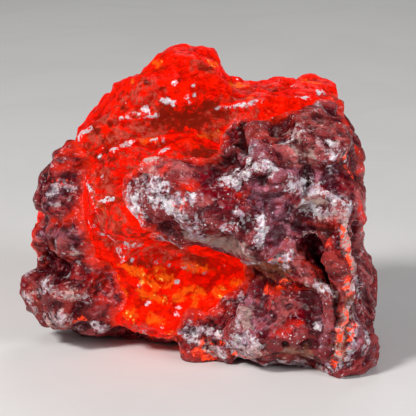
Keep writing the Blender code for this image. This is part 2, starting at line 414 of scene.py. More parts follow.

# %% Frost: the purple dust on worn faces, partly a painted sheen
FROST_AND_SHEEN = [
    (10, 0.8, [(60, 192), (50, 200)]), (8, 0.6, [(46, 236), (60, 232), (84, 236)]),
    (9, 0.8, [(240, 156), (252, 148), (262, 160)]), (8, 1.0, [(276, 174), (296, 177), (314, 178)]),
    (16, 1.0, [(262, 196), (276, 212), (290, 226)]), (13, 0.9, [(268, 230), (280, 244)]),
    (12, 0.9, [(226, 246), (240, 248)]), (9, 0.7, [(205, 246), (216, 250)]),
    (10, 0.9, [(248, 302), (252, 318), (250, 332)]), (9, 0.6, [(318, 300), (322, 324), (326, 344)]),
    (9, 0.7, [(322, 176), (334, 180)]), (8, 0.6, [(152, 158), (170, 162), (178, 158)]),
    (10, 0.6, [(262, 322), (268, 334)]), (7, 0.8, [(356, 320), (360, 350)]),
    (10, 0.8, [(256, 306), (268, 312)]), (9, 0.8, [(284, 216), (276, 234)]),
]

# %% Rims of pale crust along the edges, and the orange sparks in them
RIMS = [
    (4, 1.0, [(146, 229), (160, 236), (174, 241), (192, 248), (212, 258), (236, 261), (256, 259)]),
    (3, 0.9, [(254, 258), (286, 256)]),
    (3, 0.9, [(226, 184), (240, 180), (252, 170), (268, 166), (274, 174)]),
    (3, 0.8, [(296, 182), (310, 188), (318, 184), (334, 192), (342, 202)]),
    (3, 0.9, [(258, 218), (263, 230), (259, 246)]), (3, 0.8, [(300, 196), (306, 212), (322, 218)]),
    (3, 0.9, [(346, 200), (348, 226), (346, 250), (350, 272), (347, 296), (342, 322), (339, 360)]),
    (3, 0.4, [(358, 290), (364, 306), (366, 330)]), (3, 0.8, [(352, 318), (354, 350)]),
    (3, 0.7, [(308, 282), (330, 290)]),
    (3, 0.7, [(241, 296), (243, 316), (240, 334)]), (3, 0.8, [(190, 330), (208, 332), (230, 338)]),
    (3, 0.8, [(232, 350), (258, 356), (290, 360), (330, 368)]),
    (3, 0.8, [(38, 190), (60, 186), (76, 190)]),
    (3, 0.7, [(40, 260), (56, 250), (78, 250)]), (3, 0.7, [(30, 296), (50, 288), (66, 292), (88, 300)]),
    (3, 0.7, [(284, 132), (300, 128), (318, 130)]), (3, 0.7, [(320, 142), (334, 146), (346, 156)]),
    (3, 0.8, [(130, 186), (148, 176), (160, 162)]), (3, 0.7, [(286, 92), (308, 102), (330, 112)]),
]

SPARKS = [
    (6, 0.9, [(42, 228), (40, 244), (38, 258)]),
    (5, 1.0, [(346, 224), (347, 248), (346, 268), (344, 292)]), (5, 1.0, [(341, 312), (339, 340)]),
    (5, 0.9, [(338, 352), (334, 366)]), (5, 0.9, [(352, 326), (350, 344)]), (4, 0.8, [(330, 240)]),
    (6, 1.0, [(178, 346), (200, 354), (214, 357)]), (5, 0.9, [(206, 342), (232, 342)]),
    (5, 0.8, [(234, 352), (248, 354)]),
    (5, 0.8, [(262, 290), (284, 284)]), (5, 0.7, [(262, 256), (286, 258)]),
    (4, 0.7, [(176, 198), (184, 206)]), (5, 0.7, [(58, 316), (90, 324)]), (4, 0.7, [(60, 252)]),
    (5, 0.7, [(346, 150), (356, 180)]), (5, 0.7, [(50, 184), (66, 182)]),
]
print(len(RIMS), "strokes of rim and", len(SPARKS), "of sparks")

# %% Broad tones: warm brown rock, dusty pink and smooth clear breaks
WARM = [
    (18, 1.0, [(262, 120), (290, 116), (318, 122), (340, 132)]), (12, 0.9, [(256, 138), (276, 134)]),
    (12, 1.0, [(290, 226), (312, 230), (332, 226)]), (8, 0.8, [(331, 238), (336, 262)]),
    (8, 0.8, [(346, 230), (344, 290), (340, 350)]), (8, 0.7, [(200, 350), (260, 354), (320, 366)]),
    (14, 0.8, [(46, 236), (80, 262), (72, 300)]), (12, 0.9, [(132, 172), (150, 164), (170, 152)]),
    (10, 0.8, [(56, 210), (84, 226)]), (10, 0.7, [(30, 290), (40, 310), (80, 322)]),
    (12, 0.8, [(262, 288), (300, 286), (312, 300)]), (8, 0.9, [(352, 110), (358, 150), (360, 190)]),
    (8, 0.8, [(120, 204), (126, 222), (150, 230)]),
]

PINK = [
    (13, 1.0, [(164, 160), (178, 166), (190, 172)]), (10, 0.8, [(150, 172), (160, 176)]),
    (15, 1.0, [(298, 148), (308, 156)]), (11, 0.9, [(284, 150), (290, 160)]),
    (10, 1.0, [(299, 246), (302, 258), (310, 270)]), (16, 1.0, [(262, 302), (280, 312), (292, 322)]),
    (12, 0.8, [(318, 300), (322, 330)]), (14, 0.6, [(304, 116), (322, 126), (334, 136)]),
    (14, 1.0, [(360, 206), (366, 236), (371, 270), (376, 300)]), (9, 0.7, [(200, 206), (212, 200)]),
    (9, 0.9, [(361, 262), (366, 300), (378, 330)]),
    (8, 0.7, [(200, 214), (208, 222)]), (8, 0.7, [(240, 138), (252, 142)]),
    (10, 0.6, [(62, 240), (74, 250)]), (9, 0.6, [(86, 252), (92, 266)]),
    (9, 0.7, [(330, 150), (338, 160)]), (8, 0.6, [(272, 280), (284, 292)]),
    (15, 0.9, [(308, 194), (322, 202), (338, 208)]),
]

CLEAR = [
    (15, 1.0, [(224, 192), (240, 198), (254, 202)]), (10, 0.9, [(204, 186), (214, 194)]),
    (11, 0.8, [(224, 212), (240, 220)]), (9, 0.8, [(256, 206), (262, 216)]),
    (9, 1.0, [(278, 111), (294, 113)]), (10, 0.9, [(290, 330), (304, 318)]),
    (10, 0.9, [(258, 288), (276, 284)]), (9, 0.8, [(296, 290), (306, 300)]),
    (10, 0.9, [(308, 236), (322, 256), (332, 280)]), (9, 0.8, [(60, 214), (74, 222)]),
    (10, 0.7, [(72, 270), (88, 280)]), (9, 0.8, [(340, 96), (346, 108)]),
    (9, 0.7, [(336, 230), (336, 246)]), (8, 0.8, [(198, 176), (214, 178)]),
]
print(len(WARM), "strokes of warm rock,", len(PINK), "of pink and", len(CLEAR), "of clear breaks")

# %% The taupe face, the painted shade of the pits and the brown band
TAUPE = [
    (12, 1.0, [(206, 243), (224, 248), (242, 249)]), (7, 0.8, [(188, 232), (198, 240)]),
    (7, 0.8, [(304, 204), (318, 202)]), (6, 0.8, [(240, 262), (262, 264)]),
    (7, 0.7, [(246, 310), (250, 330)]), (8, 0.6, [(288, 348), (308, 352)]),
    (6, 0.7, [(126, 206), (132, 214)]), (6, 0.6, [(346, 210), (348, 222)]),
    (11, 0.45, [(296, 146), (312, 158)]),
]

# Painted shade: these strokes darken the pits and crevices.
SHADED_PITS = [
    (6, 0.8, [(263, 178)]), (5, 0.8, [(312, 243), (315, 249), (318, 255), (321, 262)]),
    (4, 0.8, [(321, 262), (325, 270), (329, 279), (332, 286)]),
    (6, 1.0, [(244, 128), (240, 142), (246, 152)]), (10, 0.8, [(204, 158), (222, 162), (238, 160)]),
    (4, 1.0, [(285, 343)]), (9, 0.7, [(296, 222), (312, 228), (330, 232)]),
    (4, 0.9, [(336, 296), (337, 320)]), (5, 0.7, [(230, 262), (250, 268), (270, 284)]),
    (5, 0.8, [(66, 228)]), (5, 0.7, [(58, 284)]), (4, 0.8, [(216, 342)]),
    (4, 0.8, [(306, 172), (308, 182)]), (4, 0.7, [(256, 250), (262, 258)]),
]

BROWN = [
    (10, 1.0, [(234, 262), (256, 266), (282, 268)]), (7, 0.9, [(290, 350), (306, 352)]),
    (7, 0.8, [(346, 300), (342, 330), (340, 356)]), (7, 0.6, [(318, 288), (330, 290)]),
]
print(len(TAUPE), "strokes of taupe,", len(SHADED_PITS), "of pits and", len(BROWN), "of brown")

# %% Ledges and pits in the matrix, in millimetres, outwards where above zero
LEDGES = [
    (10, 1.5, [(43, 228), (42, 238), (41, 248), (40, 258)]), (6, 0.5, [(340, 100), (345, 112)]),
    (7, 0.4, [(374, 308), (376, 322)]),
    (6, 0.55, [(148, 225), (172, 236), (192, 245), (212, 256), (240, 258), (256, 260)]),
    (5, 0.40, [(226, 182), (246, 174), (262, 167), (280, 176), (314, 180)]),
    (5, 0.45, [(345, 196), (346, 230), (347, 262), (346, 300), (341, 330), (339, 360)]),
    (7, 0.40, [(300, 190), (322, 190), (340, 202)]), (6, 0.35, [(310, 284), (332, 292)]),
    (5, 0.35, [(306, 246), (300, 262), (310, 276)]), (6, 0.40, [(41, 186), (60, 186), (76, 184)]),
    (6, 0.35, [(42, 236), (66, 230), (90, 236)]), (5, 0.30, [(240, 296), (244, 316), (250, 336)]),
    (5, 0.30, [(296, 128), (320, 134), (340, 150)]), (6, 0.35, [(262, 170), (250, 150), (262, 130)]),
    (6, -0.9, [(263, 179)]), (5, -0.9, [(315, 249), (318, 255), (321, 262)]),
    (4, -0.8, [(321, 262), (325, 270), (329, 279), (332, 286)]),
    (5, -0.8, [(243, 128), (241, 142), (246, 152)]), (4, -0.8, [(285, 343)]),
    (6, -0.5, [(292, 224), (312, 230), (332, 232)]), (4, -0.5, [(337, 292), (337, 324)]),
    (4, -0.45, [(226, 261), (250, 266), (272, 284)]), (4, -0.4, [(308, 168), (312, 184)]),
    (4, -0.35, [(352, 230), (354, 262), (360, 300)]), (5, -0.5, [(64, 206), (78, 210)]),
    (4, -0.4, [(112, 120)]), (4, -0.4, [(58, 284)]), (4, -0.4, [(216, 342)]),
]
heights = [height for _, height, _ in LEDGES]
print("ledges and pits from", min(heights), "to", max(heights), "mm")

# %% The sphalerite: its hottest light and its dull dusty faces
HOT = [
    (4, 0.9, [(157, 64)]), (3, 0.9, [(175, 49)]), (4, 0.9, [(208, 62), (216, 62)]),
    (4, 0.9, [(232, 85), (244, 86)]), (3, 0.8, [(131, 80)]), (3, 0.9, [(250, 99)]),
    (4, 0.9, [(306, 81), (316, 83)]), (4, 1.0, [(142, 142), (156, 141)]),
    (4, 0.8, [(200, 137), (230, 131)]), (4, 1.0, [(124, 268), (132, 272), (142, 273)]),
    (4, 0.9, [(108, 274), (118, 276)]), (5, 1.0, [(146, 280), (154, 283)]),
    (6, 0.9, [(160, 274), (168, 280)]), (5, 0.8, [(141, 292), (150, 295), (164, 302)]),
    (5, 0.8, [(128, 312), (134, 318)]), (5, 0.8, [(192, 290), (200, 296), (190, 312)]),
    (4, 0.9, [(186, 265), (204, 269)]), (5, 0.8, [(176, 296), (186, 292)]),
    (4, 0.8, [(236, 284), (250, 288)]), (4, 0.8, [(152, 318), (160, 322)]),
    (5, 0.8, [(218, 292), (228, 296)]), (4, 0.7, [(118, 290), (124, 296)]),
    (4, 0.7, [(168, 334), (176, 338)]), (3, 0.8, [(100, 204), (106, 214)]),
]

DULL = [
    (12, 0.62, [(98, 184), (104, 214), (116, 240)]), (10, 0.6, [(128, 160), (134, 176)]),
    (8, 0.6, [(84, 166), (92, 186)]), (7, 0.6, [(128, 106), (146, 100)]),
    (15, 0.9, [(140, 128), (156, 130)]), (12, 0.8, [(118, 130), (112, 146)]),
    (9, 0.7, [(136, 92), (142, 104)]), (16, 0.75, [(206, 122), (226, 118), (248, 114)]),
    (12, 0.6, [(124, 246), (150, 250), (190, 258)]), (9, 0.7, [(124, 240), (138, 244)]),
    (9, 0.7, [(102, 160), (92, 172)]), (8, 0.6, [(108, 186), (110, 214)]),
    (12, 0.6, [(134, 330), (152, 336)]), (8, 0.6, [(82, 148), (96, 150)]),
    (9, 0.5, [(196, 64), (210, 68)]), (6, 0.6, [(146, 82), (162, 88)]),
    (9, 0.5, [(260, 92), (276, 88)]), (9, 0.55, [(160, 156), (188, 152)]),
    (13, 0.8, [(104, 176), (112, 200), (118, 228)]), (8, 0.6, [(132, 150), (150, 152)]),
    (11, 0.75, [(106, 116), (94, 136), (82, 156)]), (8, 0.7, [(120, 100), (140, 98), (156, 104)]),
]
print(len(HOT), "strokes of hot light and", len(DULL), "of dull faces")

# %% The sphalerite: painted shade in its depths, white grains and creases
SHADED_DEPTHS = [
    # Painted shade: these strokes darken the recesses and crevices of the sphalerite.
    (14, 1.0, [(166, 116), (182, 120), (198, 118)]), (8, 0.9, [(204, 104), (222, 112)]),
    (10, 1.0, [(198, 150), (216, 156), (238, 152)]), (6, 1.0, [(240, 132), (240, 146)]),
    (3, 1.0, [(180, 80)]), (3, 0.9, [(178, 91)]), (4, 0.8, [(200, 68), (212, 69)]),
    (3, 0.9, [(162, 88)]), (3, 0.9, [(147, 82)]), (4, 0.8, [(106, 150), (112, 160)]),
    (4, 0.8, [(134, 137)]), (3, 0.8, [(274, 90)]), (3, 0.8, [(222, 72)]),
    (6, 0.7, [(120, 232), (144, 236), (176, 248), (204, 262)]), (4, 0.7, [(98, 238)]),
    (4, 0.7, [(130, 262), (150, 264)]), (4, 0.7, [(270, 88)]),
    (4, 0.9, [(96, 130)]), (3, 0.9, [(110, 124)]), (4, 0.9, [(88, 146)]), (3, 0.9, [(104, 142)]),
    (3, 0.9, [(122, 108)]), (4, 0.8, [(96, 156), (104, 164)]), (3, 0.9, [(80, 158)]),
]

GRAINS = [
    (3, 1.0, [(164, 100), (173, 102)]), (2, 1.0, [(175, 83)]), (2, 1.0, [(193, 86)]),
    (2, 1.0, [(189, 102)]), (2, 0.9, [(187, 97)]), (2, 0.8, [(194, 95)]), (2.5, 1.0, [(145, 109)]),
    (2.5, 0.55, [(121, 119), (134, 115), (158, 114)]), (4, 0.9, [(78, 136), (87, 130)]),
    (2.5, 1.0, [(115, 151), (124, 147), (132, 145)]), (2, 1.0, [(153, 143), (158, 142)]),
    (2, 0.9, [(166, 142)]), (2, 0.8, [(159, 153), (168, 147)]),
    (2.5, 1.0, [(318, 91), (325, 89)]), (2, 0.9, [(293, 86)]), (2, 0.9, [(297, 95), (308, 97)]),
    (2, 0.6, [(215, 108), (232, 106), (248, 105), (263, 101)]), (2, 0.9, [(237, 120)]),
    (2.5, 0.8, [(223, 65)]), (2.5, 0.8, [(99, 157)]), (4, 0.8, [(126, 242), (138, 245)]),
    (2, 0.9, [(104, 178)]), (2, 0.9, [(102, 200), (113, 200)]), (2, 1.0, [(157, 262)]),
    (2, 0.9, [(169, 266)]), (2, 0.9, [(184, 266)]), (2, 1.0, [(177, 282)]), (2, 0.9, [(205, 274)]),
    (2, 0.9, [(148, 304)]), (2, 1.0, [(162, 326)]), (2, 1.0, [(177, 315)]), (2, 0.8, [(139, 285)]),
    (2, 0.8, [(132, 259)]), (2.5, 0.7, [(178, 307)]), (2.5, 0.8, [(143, 332), (150, 336)]),
    (2.5, 0.55, [(79, 168), (92, 192), (101, 218), (113, 236), (123, 259)]),
    (2, 0.8, [(89, 221), (104, 233)]), (2, 0.9, [(238, 286)]), (2, 0.8, [(258, 292)]),
]

CREASES = [
    (8, 0.5, [(226, 76), (240, 82), (262, 82), (290, 80)]), (6, -0.25, [(182, 50), (212, 55)]),
    (6, 0.5, [(338, 98), (342, 104)]), (6, -0.3, [(96, 118), (84, 130)]),
    (4, 0.30, [(79, 168), (92, 192), (101, 218), (113, 236), (123, 259)]),
    (3, 0.20, [(89, 221), (104, 233)]),
    (6, 0.55, [(110, 152), (128, 145), (150, 141), (190, 140), (240, 132)]),
    (5, 0.35, [(121, 119), (134, 115), (158, 114)]),
    (5, 0.40, [(215, 108), (232, 106), (248, 105), (263, 101)]),
    (6, -0.6, [(170, 118), (196, 120)]), (6, -0.7, [(204, 152), (236, 154)]),
    (4, -0.5, [(120, 232), (150, 240), (180, 252)]), (4, -0.4, [(98, 160), (112, 158)]),
    (5, 0.35, [(112, 262), (140, 268), (180, 264), (212, 272)]),
]
print(len(SHADED_DEPTHS), "strokes of depth,", len(GRAINS), "of grains and", len(CREASES), "creases")

# %% [markdown]
# ## The broken surface
#
# A brittle mineral breaks into chips of many sizes. Three sizes of flat face are laid over each
# other here, with soft swells under them. Smooth shell breaks keep only the largest faces, and get
# the faint arcs that a crack leaves in glass. Crust stands out from the rock as small round crumbs.
# A Displace modifier could do one of these at a time. Moving the points along the surface's own
# direction does them all at once, and lets each follow the marks. The skin may stand a third of a
# millimetre out of the solid's box, and its underside stays flat.

# %% Measure each point's place among the marks
MARKS = {
    "matrix": {"crust": CRUST, "glow": GLOW, "frost": FROST_AND_SHEEN, "pink": PINK, "clear": CLEAR,
               "taupe": TAUPE, "dark": SHADED_PITS, "brown": BROWN, "warm": WARM, "sparks": SPARKS,
               "rim": RIMS},
    "sphalerite": {"hot": HOT, "dull": DULL, "dark": SHADED_DEPTHS, "crust": GRAINS},
}
FORMS = {"matrix": LEDGES, "sphalerite": CREASES}

# Behind, where the camera sees nothing, noise lays the marks in patches of these sizes, in mm
PATCH_SIZE = {"crust": 3.5, "frost": 6, "warm": 7, "pink": 6, "clear": 6, "taupe": 5, "brown": 5,
              "sparks": 3, "hot": 4, "dull": 5, "dark": 4, "glow": 5}
PATCH_LEAST = {"matrix": 0.22, "sphalerite": 0.46}
PATCH_EDGE = 0.5
# How far a face turns from the camera before the patches reach it in full
TURNED_AWAY = 0.4


def patches(points, hidden, mark, least):
    """Patches of a mark on the hidden side, fewer of them where least is high."""
    # The length of its name shifts the seed, so that different marks lie in different places
    swells = layered(points, PATCH_SIZE[mark] * MM, SEEDS["patches"] + len(mark))
    return hidden * ramp(swells, least, least + PATCH_EDGE)


cover = {}
for name in MINERALS:
    points, normals = points_of(skin[name]), normals_of(skin[name])
    hidden = ramp(normals @ np.array(AHEAD), 0.0, TURNED_AWAY)
    cover[name] = {mark: covered(points, strokes) for mark, strokes in MARKS[name].items()}
    for mark in cover[name]:
        if mark in PATCH_SIZE:
            behind = patches(points, hidden, mark, PATCH_LEAST[name])
            cover[name][mark] = np.maximum(cover[name][mark], behind)
    print(name, {mark: round(float(c.mean()), 3) for mark, c in cover[name].items()})

# %% Ledges, crumbs and arcs
# How much cover starts to push the surface, and how much pushes it in full
LEDGE_EDGE = (0.25, 0.95)
LEDGE_TEAR = 0.25
CRUST_EDGE = (0.25, 0.7)
CRUMB_SIZE = 0.75 * MM
FINE_CRUMB_SIZE = CRUMB_SIZE * 0.45
CRUMB_EDGE = (0, 0.5)
# How much of the crust's rise is its bed, its crumbs and the fine crumbs on them
CRUST_SHARES = (0.35, 0.6, 0.3)
# The arcs are this far apart, about middles this far apart, and bend with noise of this size
ARC_SIZE = 0.9 * MM
ARC_MIDDLES = 16 * MM
BEND_SIZE = 5 * MM
ARC_BEND = 3


def raised(points, strokes):
    """Ledges and pits: how far the strokes push each point, in metres."""
    push = np.zeros(len(points))
    for width, height, pixels in strokes:
        line = covered(points, [(width, 1.0, pixels)], tear=LEDGE_TEAR)
        push += ramp(line, *LEDGE_EDGE) * height * MM
    return push


def crumbs(points, crust):
    """Round crumbs where the crust lies, from 0 to about 1."""
    _, depth = cells(points, CRUMB_SIZE, SEEDS["crumbs"])
    _, fine = cells(points, FINE_CRUMB_SIZE, SEEDS["fine crumbs"])
    bed, coarse_share, fine_share = CRUST_SHARES
    rise = bed + ramp(depth, *CRUMB_EDGE) * coarse_share + ramp(fine, *CRUMB_EDGE) * fine_share
    return ramp(crust, *CRUST_EDGE) * rise


def arcs(points):
    """The faint shells of a crack, from -1 to 1: rings about a few far middles."""
    offset, _ = cells(points, ARC_MIDDLES, SEEDS["arc middles"])
    reach = np.linalg.norm(offset, axis=1)
    bends = layered(points, BEND_SIZE, SEEDS["arc bends"]) * ARC_BEND
    return np.sin(reach / ARC_SIZE * 2 * math.pi + bends)


crumbled = crumbs(points_of(skin["matrix"]), cover["matrix"]["crust"])
print("crumbs cover", (crumbled > 0).mean().round(2), "of the matrix")

# %% Break the surface
# The size of each kind of face in millimetres, and how steeply it leans
FACES = {"matrix": ((4.8, 0.28), (2.4, 0.16), (1.2, 0.07)),
         "sphalerite": ((5.0, 0.10), (2.4, 0.10), (1.2, 0.05))}
# The seeds of the three sizes are this far apart
SEED_STEP = 7
SWELL = 0.03 * MM
SWELL_SIZE = 2.6 * MM
CRUMB_RISE = {"matrix": 0.14 * MM, "sphalerite": 0.08 * MM}
ARC_DEPTH = 0.035 * MM
# No point moves further in or out than this
DEEPEST = -1.3 * MM
HIGHEST = 1.4 * MM
# The marks where the break is smooth, and how much of the small faces is lost there
CALM = ("pink", "clear", "taupe")
CALMED = 0.8
# The skin stays still where it is this near to the other mineral, and is free beyond the second
LOOSE = (0.4 * MM, 1.2 * MM)
# How much of a rise is kept there, so that the seam stays closed
HELD = 0.25
# How far crumbs may stand out of the solid's box
SPARE = 0.35 * MM


def broken(name):
    """Moves the skin's points into flat faces, swells, crumbs, ledges and pits."""
    obj = skin[name]
    marks = cover[name]
    points, normals = points_of(obj), normals_of(obj)
    calm = [marks[mark] for mark in CALM if mark in marks]
    rough = 1 - CALMED * np.max(calm, axis=0) if calm else np.ones(len(points))
    loose = ramp(gap[name], *LOOSE)
    height = layered(points, SWELL_SIZE, SEEDS["swells"]) * SWELL
    for i, (size, lean) in enumerate(FACES[name]):
        leaning = faces(points, size * MM, lean, SEEDS["faces"] + SEED_STEP * i)
        height += leaning * (1 if i == 0 else rough)
    height += (1 - rough) * arcs(points) * ARC_DEPTH
    height += crumbs(points, marks["crust"]) * CRUMB_RISE[name]
    height += raised(points, FORMS[name])
    height = np.clip(height, DEEPEST, HIGHEST)
    height = np.where(height > 0, height * (HELD + (1 - HELD) * loose), height * loose)
    moved = points + normals * height[:, None]
    low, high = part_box(name)
    moved[:, 2] = np.maximum(moved[:, 2], low[2])
    set_points(obj, np.clip(moved, np.array(low) - SPARE, np.array(high) + SPARE))
    return height


for name in MINERALS:
    height = broken(name)
    print(name, "moved by", (height.min() / MM).round(2), "to", (height.max() / MM).round(2), "mm")

# %% [markdown]
# ## What the shaders read
#
# The marks are stored on the mesh as attributes, one number for each point. Three more are
# measured: edges, where dust and wear lie and a painted highlight goes, hollows, where painted
# shade goes, and how near the other mineral is. A shader can ask for pointiness to find edges, but
# only one renderer gives it.
# Here edges and hollows come from how far each point stands out from the average of the points
# around it, and they are kept with the mesh.

# %% Store the marks, the edges and the hollows
# How often each point is averaged with those around it, and what counts as a full edge
EDGE_ROUNDS = 6
EDGE_HEIGHT = 0.055 * MM
# The rock counts as thin where the sphalerite is this near
THIN = 0.5 * MM


def store(obj, name, values):
    """Keeps one number for each point of the mesh."""
    attribute = obj.data.attributes.new(name, "FLOAT", "POINT")
    attribute.data.foreach_set("value", values.astype(np.float32))


def stands_out(obj):
    """How far each point stands out from its surroundings, in metres."""
    points, normals = points_of(obj), normals_of(obj)
    ends = np.zeros(len(obj.data.edges) * 2, np.int64)
    obj.data.edges.foreach_get("vertices", ends)
    ends = ends.reshape(-1, 2)
    count = np.bincount(ends.ravel(), minlength=len(points))[:, None]
    soft = points.copy()
    for _ in range(EDGE_ROUNDS):
        total = np.zeros_like(soft)
        for axis in range(3):
            total[:, axis] = np.bincount(ends[:, 0], soft[ends[:, 1], axis], len(points))
            total[:, axis] += np.bincount(ends[:, 1], soft[ends[:, 0], axis], len(points))
        soft = total / count
    return np.einsum("ij,ij->i", points - soft, normals)


for name in MINERALS:
    out = stands_out(skin[name])
    store(skin[name], "edge", ramp(out, 0, EDGE_HEIGHT))
    store(skin[name], "hollow", ramp(-out, 0, EDGE_HEIGHT))
    store(skin[name], "near", ramp(gap[name], NEAR_REACH, THIN))
    for mark, values in cover[name].items():
        store(skin[name], mark, values)
    print(name, "edges cover", round(float(ramp(out, 0, EDGE_HEIGHT).mean()), 2))

# %% [markdown]
# ## Shared effects as node groups
#
# Both minerals need the same few effects: patches of several tones, marks torn at their edge,
# scattered specks, streaks, hairlines, cracks, small faces and a fine grain. Copying the nodes into
# each material would work, but a change would then have to be made twice. Each effect is one node
# group with named inputs, so that each material can use it with its own sizes. The groups give out
# only colours, masks, heights and normals, and the shader itself stays in the material.

# %% Helpers that add nodes
# A mix node has sockets of the same name for each kind of value. These are the ones for colours
MIX_SHARE, MIX_FIRST, MIX_SECOND, MIX_RESULT = 0, 6, 7, 2


def fill(tree, node, inputs):
    """Links or sets a node's inputs. Underscores in a name stand for spaces."""
    for key, value in inputs.items():
        socket = node.inputs[key.replace("_", " ") if isinstance(key, str) else key]
        if isinstance(value, bpy.types.NodeSocket):
            tree.links.new(value, socket)
        else:
            socket.default_value = value


def add(tree, kind, inputs=None, **settings):
    """Adds a node, gives it its settings, and fills or links its inputs."""
    node = tree.nodes.new(kind)
    for key, value in settings.items():
        setattr(node, key, value)
    fill(tree, node, inputs or {})
    return node


def math_node(tree, operation, first, second=0.0, clamp=False):
    """One sum with two numbers."""
    node = add(tree, "ShaderNodeMath", {0: first, 1: second}, operation=operation, use_clamp=clamp)
    return node.outputs[0]


def vector_node(tree, operation, inputs):
    """One sum with vectors."""
    return add(tree, "ShaderNodeVectorMath", inputs, operation=operation).outputs[0]


def times(tree, first, second):
    """One number times another."""
    return math_node(tree, "MULTIPLY", first, second)


def mix_colours(tree, share, first, second):
    """The first colour where the share is 0, and the second where it is 1."""
    inputs = {MIX_SHARE: share, MIX_FIRST: first, MIX_SECOND: second}
    return add(tree, "ShaderNodeMix", inputs, data_type="RGBA").outputs[MIX_RESULT]


def over(tree, below, above, mask, most=1.0):
    """A colour laid over another where the mask is, and at most this much of it."""
    return mix_colours(tree, times(tree, mask, most), below, above)


def ranged(tree, value, at_zero, at_one):
    """A number that goes from one amount to another as the value goes from 0 to 1."""
    inputs = {"Value": value, "To Min": at_zero, "To Max": at_one}
    return add(tree, "ShaderNodeMapRange", inputs).outputs[0]


def between(tree, value, low, high):
    """0 below low, 1 above high and smooth between."""
    inputs = {"Value": value, "From Min": low, "From Max": high}
    return add(tree, "ShaderNodeMapRange", inputs, interpolation_type="SMOOTHSTEP").outputs[0]


def toned(tree, colour, tone, least, most):
    """The colour made darker or lighter: least where the tone is 0, and most where it is 1."""
    return vector_node(tree, "SCALE", {0: colour, "Scale": ranged(tree, tone, least, most)})


# %% Helpers for groups and for places on the stone
MM_PER_METRE = 1 / MM


def new_group(name, inputs, outputs):
    """An empty node group with named sockets: inputs with their first values, and outputs."""
    group = bpy.data.node_groups.new(name, "ShaderNodeTree")
    for socket, value in inputs.items():
        count = 1 if isinstance(value, (int, float)) else len(value)
        kind = {1: "NodeSocketFloat", 3: "NodeSocketVector", 4: "NodeSocketColor"}[count]
        made = group.interface.new_socket(socket, in_out="INPUT", socket_type=kind)
        made.default_value = value
    for socket, kind in outputs.items():
        group.interface.new_socket(socket, in_out="OUTPUT", socket_type="NodeSocket" + kind)
    given = group.nodes.new("NodeGroupInput").outputs
    out = group.nodes.new("NodeGroupOutput").inputs
    return group, given, out


def place(tree, group, **inputs):
    """Puts a group into a material, with the values that this material wants."""
    return add(tree, "ShaderNodeGroup", inputs, node_tree=group).outputs


def where(tree):
    """The point's own place on the object, in metres, which moves with the object."""
    return add(tree, "ShaderNodeTexCoord").outputs["Object"]


def per_metre(tree, size):
    """Turns a size in millimetres into a texture's scale."""
    return math_node(tree, "DIVIDE", MM_PER_METRE, size)


def noise_node(tree, size, **settings):
    """Soft noise over the object, with swells about this size in millimetres."""
    inputs = {"Vector": where(tree), "Scale": per_metre(tree, size), **settings}
    return add(tree, "ShaderNodeTexNoise", inputs).outputs


def wandering(tree, size, detail, reach):
    """The point's place, pushed about by noise by up to this reach in metres."""
    push = noise_node(tree, size, Detail=detail)["Color"]
    shift = vector_node(tree, "SCALE", {0: push, "Scale": reach})
    return vector_node(tree, "ADD", {0: where(tree), 1: shift})


def showing(tree, value, share, top, reach, soft):
    """The peaks of a noise: those above top where the share is 0, and more of them as it grows."""
    limit = math_node(tree, "SUBTRACT", top, times(tree, share, reach))
    return between(tree, value, limit, math_node(tree, "ADD", limit, soft))


# %% [markdown]
# The marks on the mesh fade evenly, which would look like paint that was sprayed on. Real crust
# and dust end in a ragged edge. The first group lifts and lowers a mark by noise and then cuts it
# at half its height. The second makes a colour from three tones, because no mineral has only one.

# %% Torn mark
# How far noise lifts and lowers a mark where its tear is 1, and the height at which it is cut
TEAR_GAIN = 4.0
HALFWAY = 0.5
# A mark shows nothing below the first of these masks, and is free to show above the second
SHOWS = (0.02, 0.3)

torn_mark, given, out = new_group("torn mark", {"mask": 0.0, "size": 0.8, "tear": 0.6, "edge": 0.12},
                                  {"mask": "Float"})
tree = torn_mark
spread = noise_node(tree, given["size"], Detail=5.0, Roughness=0.7)["Fac"]
swing = times(tree, math_node(tree, "SUBTRACT", spread, HALFWAY), given["tear"])
level = math_node(tree, "ADD", given["mask"], times(tree, swing, TEAR_GAIN))
low = math_node(tree, "SUBTRACT", HALFWAY, given["edge"])
high = math_node(tree, "ADD", HALFWAY, given["edge"])
shown = between(tree, level, low, high)
free = between(tree, given["mask"], *SHOWS)
tree.links.new(times(tree, shown, free), out["mask"])
print(torn_mark.name, "takes:", " ".join(given.keys()))

# %% Tone patches
# The first tone lies where noise is below the first of these, the second where it is above both
PATCH_CUT = (0.42, 0.58)
# The third tone's patches are this much of the others' size
FINER = 0.37

tone_patches, given, out = new_group(
    "tone patches",
    {"first": (0.1, 0.1, 0.1, 1), "second": (0.3, 0.3, 0.3, 1), "third": (0.5, 0.5, 0.5, 1),
     "size": 3.0, "third share": 0.3},
    {"colour": "Color"})
tree = tone_patches
broad = noise_node(tree, given["size"], Detail=6.0, Roughness=0.65, Distortion=0.6)["Fac"]
fine = noise_node(tree, times(tree, given["size"], FINER), Detail=6.0, Roughness=0.7,
                  Distortion=1.0)["Fac"]
first_two = mix_colours(tree, between(tree, broad, *PATCH_CUT), given["first"], given["second"])
third = showing(tree, fine, given["third share"], top=0.72, reach=0.4, soft=0.08)
tree.links.new(mix_colours(tree, third, first_two, given["third"]), out["colour"])
print(tone_patches.name, "takes:", " ".join(given.keys()))

# %% [markdown]
# Small white things show on a broken stone: round grains, some of them painted sparkles, long
# smears along the way that it splits, and fine hairs where two faces meet, which are painted
# glints. They could be thousands of tiny meshes, but most are narrower than half a millimetre. As
# masks they cost little, and each material chooses their colour. Grains come from cells, of which
# only some are kept, and crowd together in places. Smears come from noise stretched one way, and
# hairs from the line where a noise crosses its middle.

